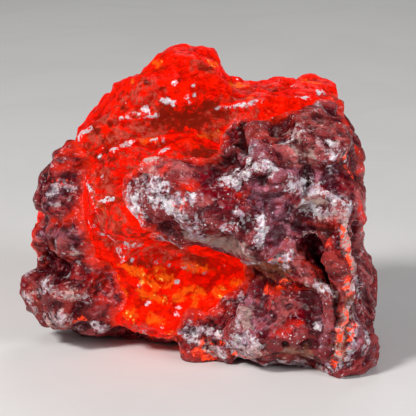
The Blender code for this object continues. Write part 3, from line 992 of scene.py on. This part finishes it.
# %% Specks
# Specks crowd where a noise this many times their size rises through these heights. There are
# so many times their usual share there, and none where the noise is low
CROWD_SIZE = 4.0
CROWDED = (0.45, 0.65)
CROWD_GAIN = 2.0
# How far a speck's outline wanders, for each millimetre of its size
SPECK_WANDER = MM / 0.9
# A speck is at least this much of its reach wide, up to so much more by chance, and full inside
# this much of its width
SPECK_LEAST = 0.4
SPECK_MORE = 0.9
SPECK_CORE = 0.5

specks, given, out = new_group("specks", {"size": 0.5, "share": 0.2, "reach": 0.3},
                               {"mask": "Float"})
tree = specks
bent_place = wandering(tree, given["size"], 3.0, times(tree, given["size"], SPECK_WANDER))
grain = add(tree, "ShaderNodeTexVoronoi", {"Vector": bent_place,
                                           "Scale": per_metre(tree, given["size"])})
chance = add(tree, "ShaderNodeSeparateColor", {"Color": grain.outputs["Color"]}).outputs
crowd = noise_node(tree, times(tree, given["size"], CROWD_SIZE), Detail=3.0)["Fac"]
crowded = times(tree, between(tree, crowd, *CROWDED), CROWD_GAIN)
chosen = math_node(tree, "LESS_THAN", chance["Red"], times(tree, given["share"], crowded))
width = math_node(tree, "ADD", times(tree, chance["Green"], SPECK_MORE), SPECK_LEAST)
outer = times(tree, given["reach"], width)
body = between(tree, grain.outputs["Distance"], times(tree, outer, SPECK_CORE), outer)
tree.links.new(times(tree, chosen, math_node(tree, "SUBTRACT", 1.0, body)), out["mask"])
print(specks.name, "takes:", " ".join(given.keys()))

# %% Streaks
# The way that the stone splits, and how far its grain is drawn out that way
GRAIN_TURN = (0, math.radians(32), 0)
STREAK_STRETCH = (0.22, 1.0, 1.3)

streaks, given, out = new_group("streaks", {"size": 0.5, "share": 0.3}, {"mask": "Float"})
tree = streaks
drawn_out = add(tree, "ShaderNodeMapping", {"Vector": where(tree), "Rotation": GRAIN_TURN,
                                            "Scale": STREAK_STRETCH}).outputs[0]
lines = add(tree, "ShaderNodeTexNoise", {"Vector": drawn_out, "Detail": 5.0, "Roughness": 0.65,
                                         "Distortion": 0.8, "Scale": per_metre(tree, given["size"])})
shown = showing(tree, lines.outputs["Fac"], given["share"], top=0.72, reach=0.4, soft=0.07)
tree.links.new(shown, out["mask"])
print(streaks.name, "takes:", " ".join(given.keys()))

# %% Hairlines: painted glints
# Noise of this share of the hairs' size breaks them off
GATE_SIZE = 0.8

glint_lines, given, out = new_group("glint_lines", {"size": 1.0, "width": 0.05, "share": 0.5},
                                  {"mask": "Float"})
tree = glint_lines
level = noise_node(tree, given["size"], Detail=1.5, Distortion=0.7)["Fac"]
away = math_node(tree, "ABSOLUTE", math_node(tree, "SUBTRACT", level, HALFWAY))
line = math_node(tree, "SUBTRACT", 1.0, between(tree, away, 0.0, given["width"]))
gate = noise_node(tree, times(tree, given["size"], GATE_SIZE), Detail=3.0)["Fac"]
open_gate = showing(tree, gate, given["share"], top=0.65, reach=0.3, soft=0.06)
tree.links.new(times(tree, line, open_gate), out["mask"])
print(glint_lines.name, "takes:", " ".join(given.keys()))

# %% [markdown]
# A crack runs between pieces of stone, so it follows the borders of bent cells, and it is broken
# off where a noise is low. A glassy mineral also breaks into faces too small for the mesh. Each
# cell of that group leans the surface's direction its own way, so that light strikes the faces
# one by one, and gives a tone, so that no two faces have quite the same colour. The grain is the
# finest roughness of all, and goes to a bump.

# %% Cracks
# A crack is broken off where noise is below the first of these, and whole above the second
CRACK_GAPS = (0.45, 0.6)

cracks, given, out = new_group("cracks", {"size": 2.0, "width": 0.04, "bend": 0.6}, {"mask": "Float"})
tree = cracks
reach = math_node(tree, "DIVIDE", times(tree, given["size"], given["bend"]), MM_PER_METRE)
bent_place = wandering(tree, given["size"], 4.0, reach)
net = add(tree, "ShaderNodeTexVoronoi", {"Vector": bent_place, "Scale": per_metre(tree, given["size"])},
          feature="DISTANCE_TO_EDGE").outputs["Distance"]
line = math_node(tree, "SUBTRACT", 1.0, between(tree, net, 0.0, given["width"]))
gaps = noise_node(tree, given["size"], Detail=2.0)["Fac"]
tree.links.new(times(tree, line, between(tree, gaps, *CRACK_GAPS)), out["mask"])
print(cracks.name, "takes:", " ".join(given.keys()))

# %% Small faces
# How the faces are drawn out along the grain
GRAIN_STRETCH = (0.6, 1.0, 1.35)
# The smaller faces on each face: their size and how much they lean, as shares of the face's own
SMALLER = 0.42
SMALLER_LEAN = 0.8
MIDDLE_COLOUR = (0.5, 0.5, 0.5)

small_faces, given, out = new_group(
    "small faces", {"normal": (0.0, 0.0, 0.0), "size": 0.6, "lean": 0.4, "bend": 0.5},
    {"normal": "Vector", "tone": "Float"})
tree = small_faces
reach = math_node(tree, "DIVIDE", times(tree, given["size"], given["bend"]), MM_PER_METRE)
bent_place = wandering(tree, given["size"], 3.0, reach)
along_grain = add(tree, "ShaderNodeMapping", {"Vector": bent_place, "Rotation": GRAIN_TURN,
                                              "Scale": GRAIN_STRETCH}).outputs[0]
facing = given["normal"]
tones = []
for size, share in ((given["size"], 1.0), (times(tree, given["size"], SMALLER), SMALLER_LEAN)):
    face = add(tree, "ShaderNodeTexVoronoi", {"Vector": along_grain, "Scale": per_metre(tree, size)})
    colour = face.outputs["Color"]
    way = vector_node(tree, "SUBTRACT", {0: colour, 1: MIDDLE_COLOUR})
    lean = vector_node(tree, "SCALE", {0: way, "Scale": times(tree, given["lean"], share)})
    facing = vector_node(tree, "ADD", {0: facing, 1: lean})
    tones.append(add(tree, "ShaderNodeSeparateColor", {"Color": colour}).outputs["Blue"])
tree.links.new(vector_node(tree, "NORMALIZE", {0: facing}), out["normal"])
tree.links.new(times(tree, math_node(tree, "ADD", *tones), 0.5), out["tone"])
print(small_faces.name, "takes:", " ".join(given.keys()))

# %% Grain
grain_group, given, out = new_group("grain", {"size": 0.3}, {"height": "Float"})
tree = grain_group
tree.links.new(noise_node(tree, given["size"], Detail=8.0, Roughness=0.75)["Fac"], out["height"])
print("groups:", [group.name for group in bpy.data.node_groups])

# %% [markdown]
# ## The matrix
#
# The host rock is a glassy maroon mineral under purple dust. Its colour goes from deep wine to
# dusty purple-brown, with lavender frost on worn faces, partly dust and partly a painted sheen,
# cream crust in crumbs, and red windows of painted light where light from the sphalerite behind
# comes through. One picture wrapped around the stone would do for one side only. Here the colour
# is built in layers, as the stone was: the mineral first, then dust, cracks, crust and the last
# white flecks. Each layer is laid over the one before.

# %% Start a material and tear its marks
def new_material(name):
    """A material with an empty shader."""
    material = bpy.data.materials.new(name)
    material.use_nodes = True
    tree = material.node_tree
    return material, tree, tree.nodes["Principled BSDF"]


def marked(tree, name):
    """A mark, or another number, as it is stored on the mesh."""
    return add(tree, "ShaderNodeAttribute", attribute_name=name).outputs["Fac"]


def torn(tree, name, size, tear, edge):
    """A mark with a torn edge."""
    return place(tree, torn_mark, mask=marked(tree, name), size=size, tear=tear, edge=edge)["mask"]


# For each mark the size of its tears in millimetres, how deep they go, and how soft its edge is
ROCK_TEARS = {
    "crust": (0.7, 1.3, 0.30), "frost": (0.9, 0.9, 0.35), "glow": (1.2, 0.8, 0.45),
    "dark": (1.2, 0.3, 0.30), "brown": (0.8, 0.9, 0.25), "pink": (1.4, 0.5, 0.20),
    "clear": (1.4, 0.5, 0.20), "taupe": (1.0, 0.5, 0.20), "near": (1.6, 0.7, 0.35),
    "warm": (1.4, 0.6, 0.30), "rim": (0.7, 1.3, 0.25),
}
matrix_rock, tree, shader = new_material("matrix rock")
rock = {name: torn(tree, name, *tears) for name, tears in ROCK_TEARS.items()}
print("marks torn for the matrix:", list(rock))

# %% The mineral's own colours
CLARET = (0.130, 0.000, 0.004, 1)
MAROON = (0.190, 0.008, 0.010, 1)
DUSTY_PINK = (0.330, 0.055, 0.060, 1)
RUSSET = (0.320, 0.020, 0.010, 1)
ROSE = (0.440, 0.090, 0.090, 1)

colour = place(tree, tone_patches, first=CLARET, second=MAROON, third=DUSTY_PINK, size=2.6,
               third_share=0.40)["colour"]
colour = over(tree, colour, RUSSET, rock["warm"], most=0.8)
colour = over(tree, colour, ROSE, rock["pink"], most=0.75)
colour = over(tree, colour, CLARET, rock["clear"])
print("own colours:", len(tree.nodes), "nodes so far")

# %% Purple dust on the worn faces, partly a painted sheen
PLUM = (0.330, 0.115, 0.175, 1)
MAUVE = (0.210, 0.048, 0.074, 1)
LAVENDER = (0.430, 0.270, 0.350, 1)

dust_and_sheen = place(tree, tone_patches, first=PLUM, second=MAUVE, third=LAVENDER, size=1.1,
             third_share=0.45)["colour"]
# Frost: partly purple dust and partly a painted sheen of the glossy rock.
colour = over(tree, colour, dust_and_sheen, rock["frost"], most=0.85)
print("purple dust:", len(tree.nodes), "nodes so far")

# %% Small glassy faces
facing = add(tree, "ShaderNodeNewGeometry").outputs["Normal"]
broad = place(tree, small_faces, normal=facing, size=2.8, lean=0.65, bend=0.3)
facet = place(tree, small_faces, normal=broad["normal"], size=0.8, lean=0.6, bend=0.5)
colour = toned(tree, colour, broad["tone"], 0.6, 1.4)
colour = toned(tree, colour, facet["tone"], 0.55, 1.5)
print("small faces:", len(tree.nodes), "nodes so far")

# %% [markdown]
# Edges are painted pale, partly as dust and partly as a painted highlight, and hollows are painted
# dark as shade, but a clear break is too fresh to have dust on its edges. Where the rock is thin,
# or the sphalerite is near, it is painted crimson for the light that comes through it. The glow
# itself is added at the end.

# %% Pale edges of dust and painted highlight, painted shade in hollows, and red windows of painted light
WINE = (0.050, 0.002, 0.006, 1)
CRIMSON = (0.430, 0.009, 0.004, 1)

edge_dust_and_highlight = ranged(tree, rock["clear"], 0.25, 0.0)
# Pale edges: partly dust, partly a painted highlight.
colour = over(tree, colour, ROSE, marked(tree, "edge"), most=edge_dust_and_highlight)
# Painted shade: the hollows are darkened to wine.
colour = over(tree, colour, WINE, marked(tree, "hollow"), most=0.8)
# Painted light: crimson where light comes through thin rock and near the sphalerite.
colour = over(tree, colour, CRIMSON, rock["glow"], most=0.85)
colour = over(tree, colour, CRIMSON, rock["near"], most=0.7)
print("edges, hollows and windows:", len(tree.nodes), "nodes so far")

# %% Veins, splits and streaks
# Near black, for dark cracks and for the painted shade of the pits.
CRACK_AND_PIT_SHADE = (0.030, 0.002, 0.003, 1)

veins = place(tree, cracks, size=1.9, width=0.02, bend=1.2)["mask"]
colour = over(tree, colour, LAVENDER, veins, most=0.4)
splits = place(tree, cracks, size=2.9, width=0.03, bend=1.1)["mask"]
colour = over(tree, colour, CRACK_AND_PIT_SHADE, splits, most=0.8)
pale_streaks = place(tree, streaks, size=0.6, share=0.24)["mask"]
fewer_if_clear = math_node(tree, "SUBTRACT", 0.5, times(tree, rock["clear"], 0.4))
colour = over(tree, colour, LAVENDER, pale_streaks, most=fewer_if_clear)
dark_streaks = place(tree, streaks, size=1.1, share=0.30)["mask"]
colour = over(tree, colour, WINE, dark_streaks, most=0.7)
print("veins, splits and streaks:", len(tree.nodes), "nodes so far")

# %% The taupe face, painted lighter, the brown band and the painted shade of the pits
# STONE is the taupe face's own colour, painted lighter for the light that reaches this downward face
# from below.
STONE = (0.480, 0.330, 0.290)
UMBER = (0.330, 0.105, 0.055)

stone = toned(tree, STONE, facet["tone"], 0.65, 1.3)
colour = over(tree, colour, stone, rock["taupe"], most=0.85)
umber = toned(tree, UMBER, facet["tone"], 0.5, 1.5)
colour = over(tree, colour, umber, rock["brown"], most=0.8)
# Painted shade: the pits are laid over with near black.
colour = over(tree, colour, CRACK_AND_PIT_SHADE, rock["dark"])
print("taupe, brown and pits:", len(tree.nodes), "nodes so far")

# %% [markdown]
# The crust is a thin rind of pale crumbs. On the cold purple rock it is lavender and white, and on
# the warm rock it is cream. A narrower line of the same crust follows the edges. Around it lie
# loose flecks, partly white grains and partly painted sparkles, and hairs of painted glint, most
# of them where crust or a worn and glinting edge is near and none in the pits.

# %% Crust and rims
CREAM = (0.600, 0.450, 0.350, 1)
WHITE = (0.800, 0.770, 0.820, 1)

crust_colour = place(tree, tone_patches, first=LAVENDER, second=WHITE, third=CREAM, size=0.8,
                     third_share=0.45)["colour"]
creamy = place(tree, tone_patches, first=CREAM, second=ROSE, third=WHITE, size=0.8,
               third_share=0.35)["colour"]
crust_colour = over(tree, crust_colour, creamy, rock["warm"], most=0.8)
crust_colour = toned(tree, crust_colour, facet["tone"], 0.6, 1.4)
colour = over(tree, colour, crust_colour, rock["crust"], most=0.9)
colour = over(tree, colour, crust_colour, rock["rim"], most=0.6)
print("crust and rims:", len(tree.nodes), "nodes so far")

# %% White flecks, partly grains and partly painted sparkles
# Only the sharpest edges count as worn and glinting, and they gather less than crust does
WORN_AND_GLINTING = (0.6, 1.0)
WORN_AND_GLINTING_SHARE = 0.35
# The share of cells that hold a fleck near crust, and the share that do anywhere
FLECKS_NEAR = 0.16
FLECKS_EVERYWHERE = 0.008
FINE_FLECKS = 1.5

worn_and_glinting = times(tree, between(tree, marked(tree, "edge"), *WORN_AND_GLINTING), WORN_AND_GLINTING_SHARE)
around = math_node(tree, "MAXIMUM", marked(tree, "crust"), worn_and_glinting)
share = math_node(tree, "ADD", times(tree, around, FLECKS_NEAR), FLECKS_EVERYWHERE)
flecks = place(tree, specks, size=0.42, share=share, reach=0.40)["mask"]
fine_flecks = place(tree, specks, size=0.24, share=times(tree, share, FINE_FLECKS), reach=0.42)["mask"]
flecks = math_node(tree, "MAXIMUM", flecks, fine_flecks)
flecks = times(tree, flecks, math_node(tree, "SUBTRACT", 1.0, rock["dark"], clamp=True))
# Painted sparkles: part of these white flecks stands for glints on the glassy rock.
colour = over(tree, colour, WHITE, flecks, most=0.65)
print("flecks:", len(tree.nodes), "nodes so far")

# %% White hairlines: painted glints
# How white the painted glints are near crust, on top of how white they are anywhere
GLINTS_NEAR = 0.6
GLINTS_EVERYWHERE = 0.30

glints = place(tree, glint_lines, size=1.2, width=0.035, share=0.22)["mask"]
fine_glints = place(tree, glint_lines, size=0.7, width=0.05, share=0.12)["mask"]
glints = math_node(tree, "MAXIMUM", glints, fine_glints)
strength = math_node(tree, "ADD", times(tree, around, GLINTS_NEAR), GLINTS_EVERYWHERE)
strength = math_node(tree, "SUBTRACT", strength, rock["dark"], clamp=True)
colour = over(tree, colour, WHITE, times(tree, glints, strength))
print("hairlines:", len(tree.nodes), "nodes so far")

# %% [markdown]
# A clear break is almost as smooth as glass, the rest of the rock is satin, and crust is chalky.
# Crust also stands a little higher in the bump.
#
# When the stone was pictured, light from inside it came out wherever the rock is thin. Light that
# really passed through would need a clear rock and a long render, so the red windows give out a
# low light of their own. It is strongest in the middle of a window and along the seam, and crust
# hides it. The sparks are tips of sphalerite in the right ridge, the left edge and the foot.

# %% Gloss and bump
# The roughness of dull rock and of a clear break
CLEAR_GLOSS = (0.20, 0.07)
CRUST_ROUGHNESS = 0.75
CRUST_HEIGHT = 0.6
BUMP_HEIGHT = 0.12 * MM

roughness = ranged(tree, rock["clear"], *CLEAR_GLOSS)
roughness = ranged(tree, rock["crust"], roughness, CRUST_ROUGHNESS)
height = place(tree, grain_group, size=0.35)["height"]
height = math_node(tree, "ADD", height, times(tree, rock["crust"], CRUST_HEIGHT))
bump = add(tree, "ShaderNodeBump", {"Height": height, "Distance": BUMP_HEIGHT, "Strength": 0.35,
                                    "Normal": facet["normal"]}).outputs[0]
print("gloss and bump:", len(tree.nodes), "nodes so far")

# %% Light from inside the rock
BLACK = (0, 0, 0, 1)
EMBER = (0.950, 0.028, 0.002, 1)
SPARK = (2.200, 0.130, 0.010, 1)
# A window's light falls off faster towards its rim as this goes up
WINDOW_FALL = 1.6
# The lower this is, the fewer sparks show in their marks
SPARK_SHARE = 0.36

deep = times(tree, math_node(tree, "POWER", marked(tree, "glow"), WINDOW_FALL), rock["glow"])
deep = math_node(tree, "MAXIMUM", deep, times(tree, rock["near"], marked(tree, "near")))
deep = times(tree, deep, math_node(tree, "SUBTRACT", 1.0, rock["crust"], clamp=True))
light = mix_colours(tree, deep, BLACK, EMBER)
sparks = place(tree, torn_mark, mask=times(tree, marked(tree, "sparks"), SPARK_SHARE),
               size=0.8, tear=1.2, edge=0.15)["mask"]
light = mix_colours(tree, sparks, light, SPARK)
light = toned(tree, light, facet["tone"], 0.4, 1.4)
colour = over(tree, colour, CRIMSON, sparks)
print("light:", len(tree.nodes), "nodes so far")

# %% Give it all to the matrix's shader
# The rock bends light as garnet does, but its dust takes most of the white shine
MATRIX_IOR = 1.75
MATRIX_LUSTRE = 0.10
GLOW_STRENGTH = 0.55

fill(tree, shader, {"Base Color": colour, "Roughness": roughness, "Normal": bump, "IOR": MATRIX_IOR,
                    "Specular IOR Level": MATRIX_LUSTRE, "Emission Color": light,
                    "Emission Strength": GLOW_STRENGTH})
print(matrix_rock.name, "has", len(tree.nodes), "nodes")

# %% [markdown]
# ## The sphalerite
#
# Sphalerite bends light more than glass does. Light that enters it is scattered by its flaws, loses
# its blue and green on the way, and comes out orange-red. It could be plain coloured glass, but
# then it would show the floor behind it and look dark, since no light fills it here. So three
# things share the work. The shader lets a little light through and absorbs all but the red. The
# surface has the mineral's own colour. And a steady light of that colour stands for the light
# that filled the stone when it was pictured. Its gloss is tinted warm, because a white shine
# would turn the orange-red pink.

# %% Start the sphalerite and lay its own colours
FLAME = (1.000, 0.004, 0.000, 1)
ORANGE = (1.000, 0.010, 0.000, 1)
RUST = (0.330, 0.022, 0.004, 1)
GARNET = (0.280, 0.003, 0.001, 1)
OLIVE = (0.200, 0.028, 0.005, 1)
MOTTLED_SHARE = 0.45
CRYSTAL_TEARS = {"crust": (0.6, 1.1, 0.25), "hot": (0.9, 1.0, 0.45), "dull": (0.9, 0.8, 0.30),
                 "dark": (0.8, 0.6, 0.30)}

clear_red, tree, shader = new_material("clear sphalerite")
crystal = {name: torn(tree, name, *tears) for name, tears in CRYSTAL_TEARS.items()}
colour = place(tree, tone_patches, first=FLAME, second=ORANGE, third=RUST, size=1.9,
               third_share=0.25)["colour"]
mottled = place(tree, tone_patches, first=FLAME, second=GARNET, third=OLIVE, size=0.9,
                third_share=0.25)["colour"]
colour = mix_colours(tree, MOTTLED_SHARE, colour, mottled)
print("marks torn for the sphalerite:", list(crystal))

# %% Its faces, edges with a painted highlight, and hollows with painted shade
facing = add(tree, "ShaderNodeNewGeometry").outputs["Normal"]
broad = place(tree, small_faces, normal=facing, size=2.4, lean=0.4, bend=0.4)
facet = place(tree, small_faces, normal=broad["normal"], size=0.7, lean=0.4, bend=0.8)
colour = toned(tree, colour, broad["tone"], 0.7, 1.25)
colour = toned(tree, colour, facet["tone"], 0.55, 1.35)
# Painted shade: the hollows are darkened to garnet.
colour = over(tree, colour, GARNET, marked(tree, "hollow"), most=0.7)
# Painted highlight: the edges are lightened to orange.
colour = over(tree, colour, ORANGE, marked(tree, "edge"), most=0.25)
print("faces, edges and hollows:", len(tree.nodes), "nodes so far")

# %% The hottest light: amber with yellow cores
AMBER = (1.000, 0.150, 0.006, 1)
YELLOW = (1.150, 0.620, 0.110, 1)

colour = over(tree, colour, AMBER, crystal["hot"], most=0.6)
cores = place(tree, specks, size=0.7, share=0.55, reach=0.6)["mask"]
colour = over(tree, colour, YELLOW, crystal["hot"], most=cores)
print("hottest light:", len(tree.nodes), "nodes so far")

# %% Dull dusty faces, rust, splits and the painted shade of the depths
ROSE_DUST = (0.460, 0.080, 0.055, 1)
NIGHT = (0.170, 0.008, 0.003, 1)
DULL_GLINTS = 0.6

dusty = place(tree, tone_patches, first=ROSE_DUST, second=GARNET, third=OLIVE, size=1.2,
              third_share=0.5)["colour"]
colour = over(tree, colour, dusty, crystal["dull"], most=0.85)
# Painted glints: rose hairlines on the dull faces.
glints = place(tree, glint_lines, size=0.9, width=0.04, share=0.5)["mask"]
colour = over(tree, colour, ROSE_DUST, glints, most=times(tree, marked(tree, "dull"), DULL_GLINTS))
rusty = place(tree, streaks, size=1.2, share=0.32)["mask"]
colour = over(tree, colour, RUST, rusty, most=0.5)
splits = place(tree, cracks, size=1.7, width=0.05, bend=0.9)["mask"]
colour = over(tree, colour, GARNET, splits, most=0.7)
# Painted shade: the depths are laid over with a deep dark red.
colour = over(tree, colour, NIGHT, crystal["dark"])
print("dull faces and depths:", len(tree.nodes), "nodes so far")

# %% White grains, which give out no light
# How much of the colour lies on the surface. The rest of its brightness is light from inside
BODY_SHARE = 0.40
# The share of cells that hold a grain in their marks, and the share that do anywhere
GRAINS_NEAR = 0.4
GRAINS_EVERYWHERE = 0.004

share = math_node(tree, "ADD", times(tree, marked(tree, "crust"), GRAINS_NEAR), GRAINS_EVERYWHERE)
grains = place(tree, specks, size=0.4, share=share, reach=0.36)["mask"]
white = math_node(tree, "MAXIMUM", grains, crystal["crust"])
lit = mix_colours(tree, white, colour, BLACK)
body = mix_colours(tree, BODY_SHARE, BLACK, colour)
dust = toned(tree, WHITE[:3], facet["tone"], 0.5, 1.2)
body = mix_colours(tree, white, body, dust)
print("white grains:", len(tree.nodes), "nodes so far")

# %% Give it all to the sphalerite's shader
SPHALERITE_IOR = 2.37
SPHALERITE_LUSTRE = 0.02
CLEARNESS = 0.10
WARM_GLOSS = (1.0, 0.08, 0.03, 1)
INNER_LIGHT = 0.80
# The light that gets through, and how strongly the rest is absorbed for each metre
LET_THROUGH = (1.0, 0.12, 0.02, 1)
ABSORPTION = 400.0
# The roughness of the clear mineral and of its white grains
GRAIN_GLOSS = (0.15, 0.6)
CRYSTAL_BUMP = 0.10 * MM

roughness = ranged(tree, crystal["crust"], *GRAIN_GLOSS)
height = place(tree, grain_group, size=0.4)["height"]
bump = add(tree, "ShaderNodeBump", {"Height": height, "Distance": CRYSTAL_BUMP, "Strength": 0.5,
                                    "Normal": facet["normal"]}).outputs[0]
fill(tree, shader, {"Base Color": body, "Roughness": roughness, "Normal": bump,
                    "IOR": SPHALERITE_IOR, "Specular IOR Level": SPHALERITE_LUSTRE,
                    "Specular Tint": WARM_GLOSS, "Transmission Weight": CLEARNESS,
                    "Emission Color": lit, "Emission Strength": INNER_LIGHT})
inside = add(tree, "ShaderNodeVolumeAbsorption", {"Color": LET_THROUGH, "Density": ABSORPTION})
tree.links.new(inside.outputs[0], tree.nodes["Material Output"].inputs["Volume"])
print(clear_red.name, "has", len(tree.nodes), "nodes")

# %% [markdown]
# ## Put the skins in the frame
#
# The stone is one rigid body, and nothing on it moves. Each skin rides on that body and stands in
# for the plain solid of its own mineral.

# %% Put the skins in the frame
for name, material in (("matrix", matrix_rock), ("sphalerite", clear_red)):
    skin[name].data.materials.append(material)
    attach(skin[name], BODY)
    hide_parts(name)
    print(skin[name].name, "stands in for", name)

# %% [markdown]
# ## The studio
#
# The floor is plain and pale. A broad light from the front left shows the facets, a weaker one
# from the right fills the shade, and one from behind draws the crest. A single strong light
# would shine harder on the facets, but its white glare would hide the colours.

# %% The floor
FLOOR_SIZE = 4.0
PAPER = ((0.74, 0.73, 0.72, 1), (0.76, 0.75, 0.74, 1), (0.75, 0.74, 0.73, 1))
# Very broad patches of nearly the same tone, in millimetres
PAPER_PATCHES = 40.0
PAPER_ROUGHNESS = 0.9

half = FLOOR_SIZE / 2
floor_mesh = bpy.data.meshes.new("floor")
floor_mesh.from_pydata([(-half, -half, 0), (half, -half, 0), (half, half, 0), (-half, half, 0)], [],
                       [(0, 1, 2, 3)])
floor = bpy.data.objects.new("floor", floor_mesh)
bpy.context.scene.collection.objects.link(floor)
floor_paint, tree, shader = new_material("floor paint")
paper = place(tree, tone_patches, first=PAPER[0], second=PAPER[1], third=PAPER[2],
              size=PAPER_PATCHES)["colour"]
fill(tree, shader, {"Base Color": paper, "Roughness": PAPER_ROUGHNESS})
floor_mesh.materials.append(floor_paint)
print("floor,", FLOOR_SIZE, "m wide")

# %% The lights
# Each has its place and its width in metres, its power in watts and its tint
LIGHTS = {
    "key": ((-0.22, -0.20, 0.28), 0.07, 1.35, (1.0, 0.98, 0.96)),
    "fill": ((0.32, -0.22, 0.14), 0.12, 0.95, (0.95, 0.97, 1.0)),
    "rim": ((0.06, 0.30, 0.36), 0.16, 0.32, (1.0, 1.0, 1.0)),
}
AIM = Vector((0, 0, 0.018))
SKY = (0.80, 0.82, 0.85, 1)
SKY_STRENGTH = 0.16

for name, (spot, width, power, tint) in LIGHTS.items():
    panel = bpy.data.lights.new(name, "AREA")
    panel.size = width
    panel.energy = power
    panel.color = tint
    made = bpy.data.objects.new(name, panel)
    made.location = spot
    made.rotation_euler = (AIM - Vector(spot)).to_track_quat("-Z", "Y").to_euler()
    bpy.context.scene.collection.objects.link(made)
    print(name, "light,", round((AIM - Vector(spot)).length, 2), "m from the stone")

world = bpy.data.worlds.new("studio")
world.use_nodes = True
background = world.node_tree.nodes["Background"].inputs
background["Color"].default_value = SKY
background["Strength"].default_value = SKY_STRENGTH
bpy.context.scene.world = world
bpy.context.scene.view_settings.view_transform = "Standard"
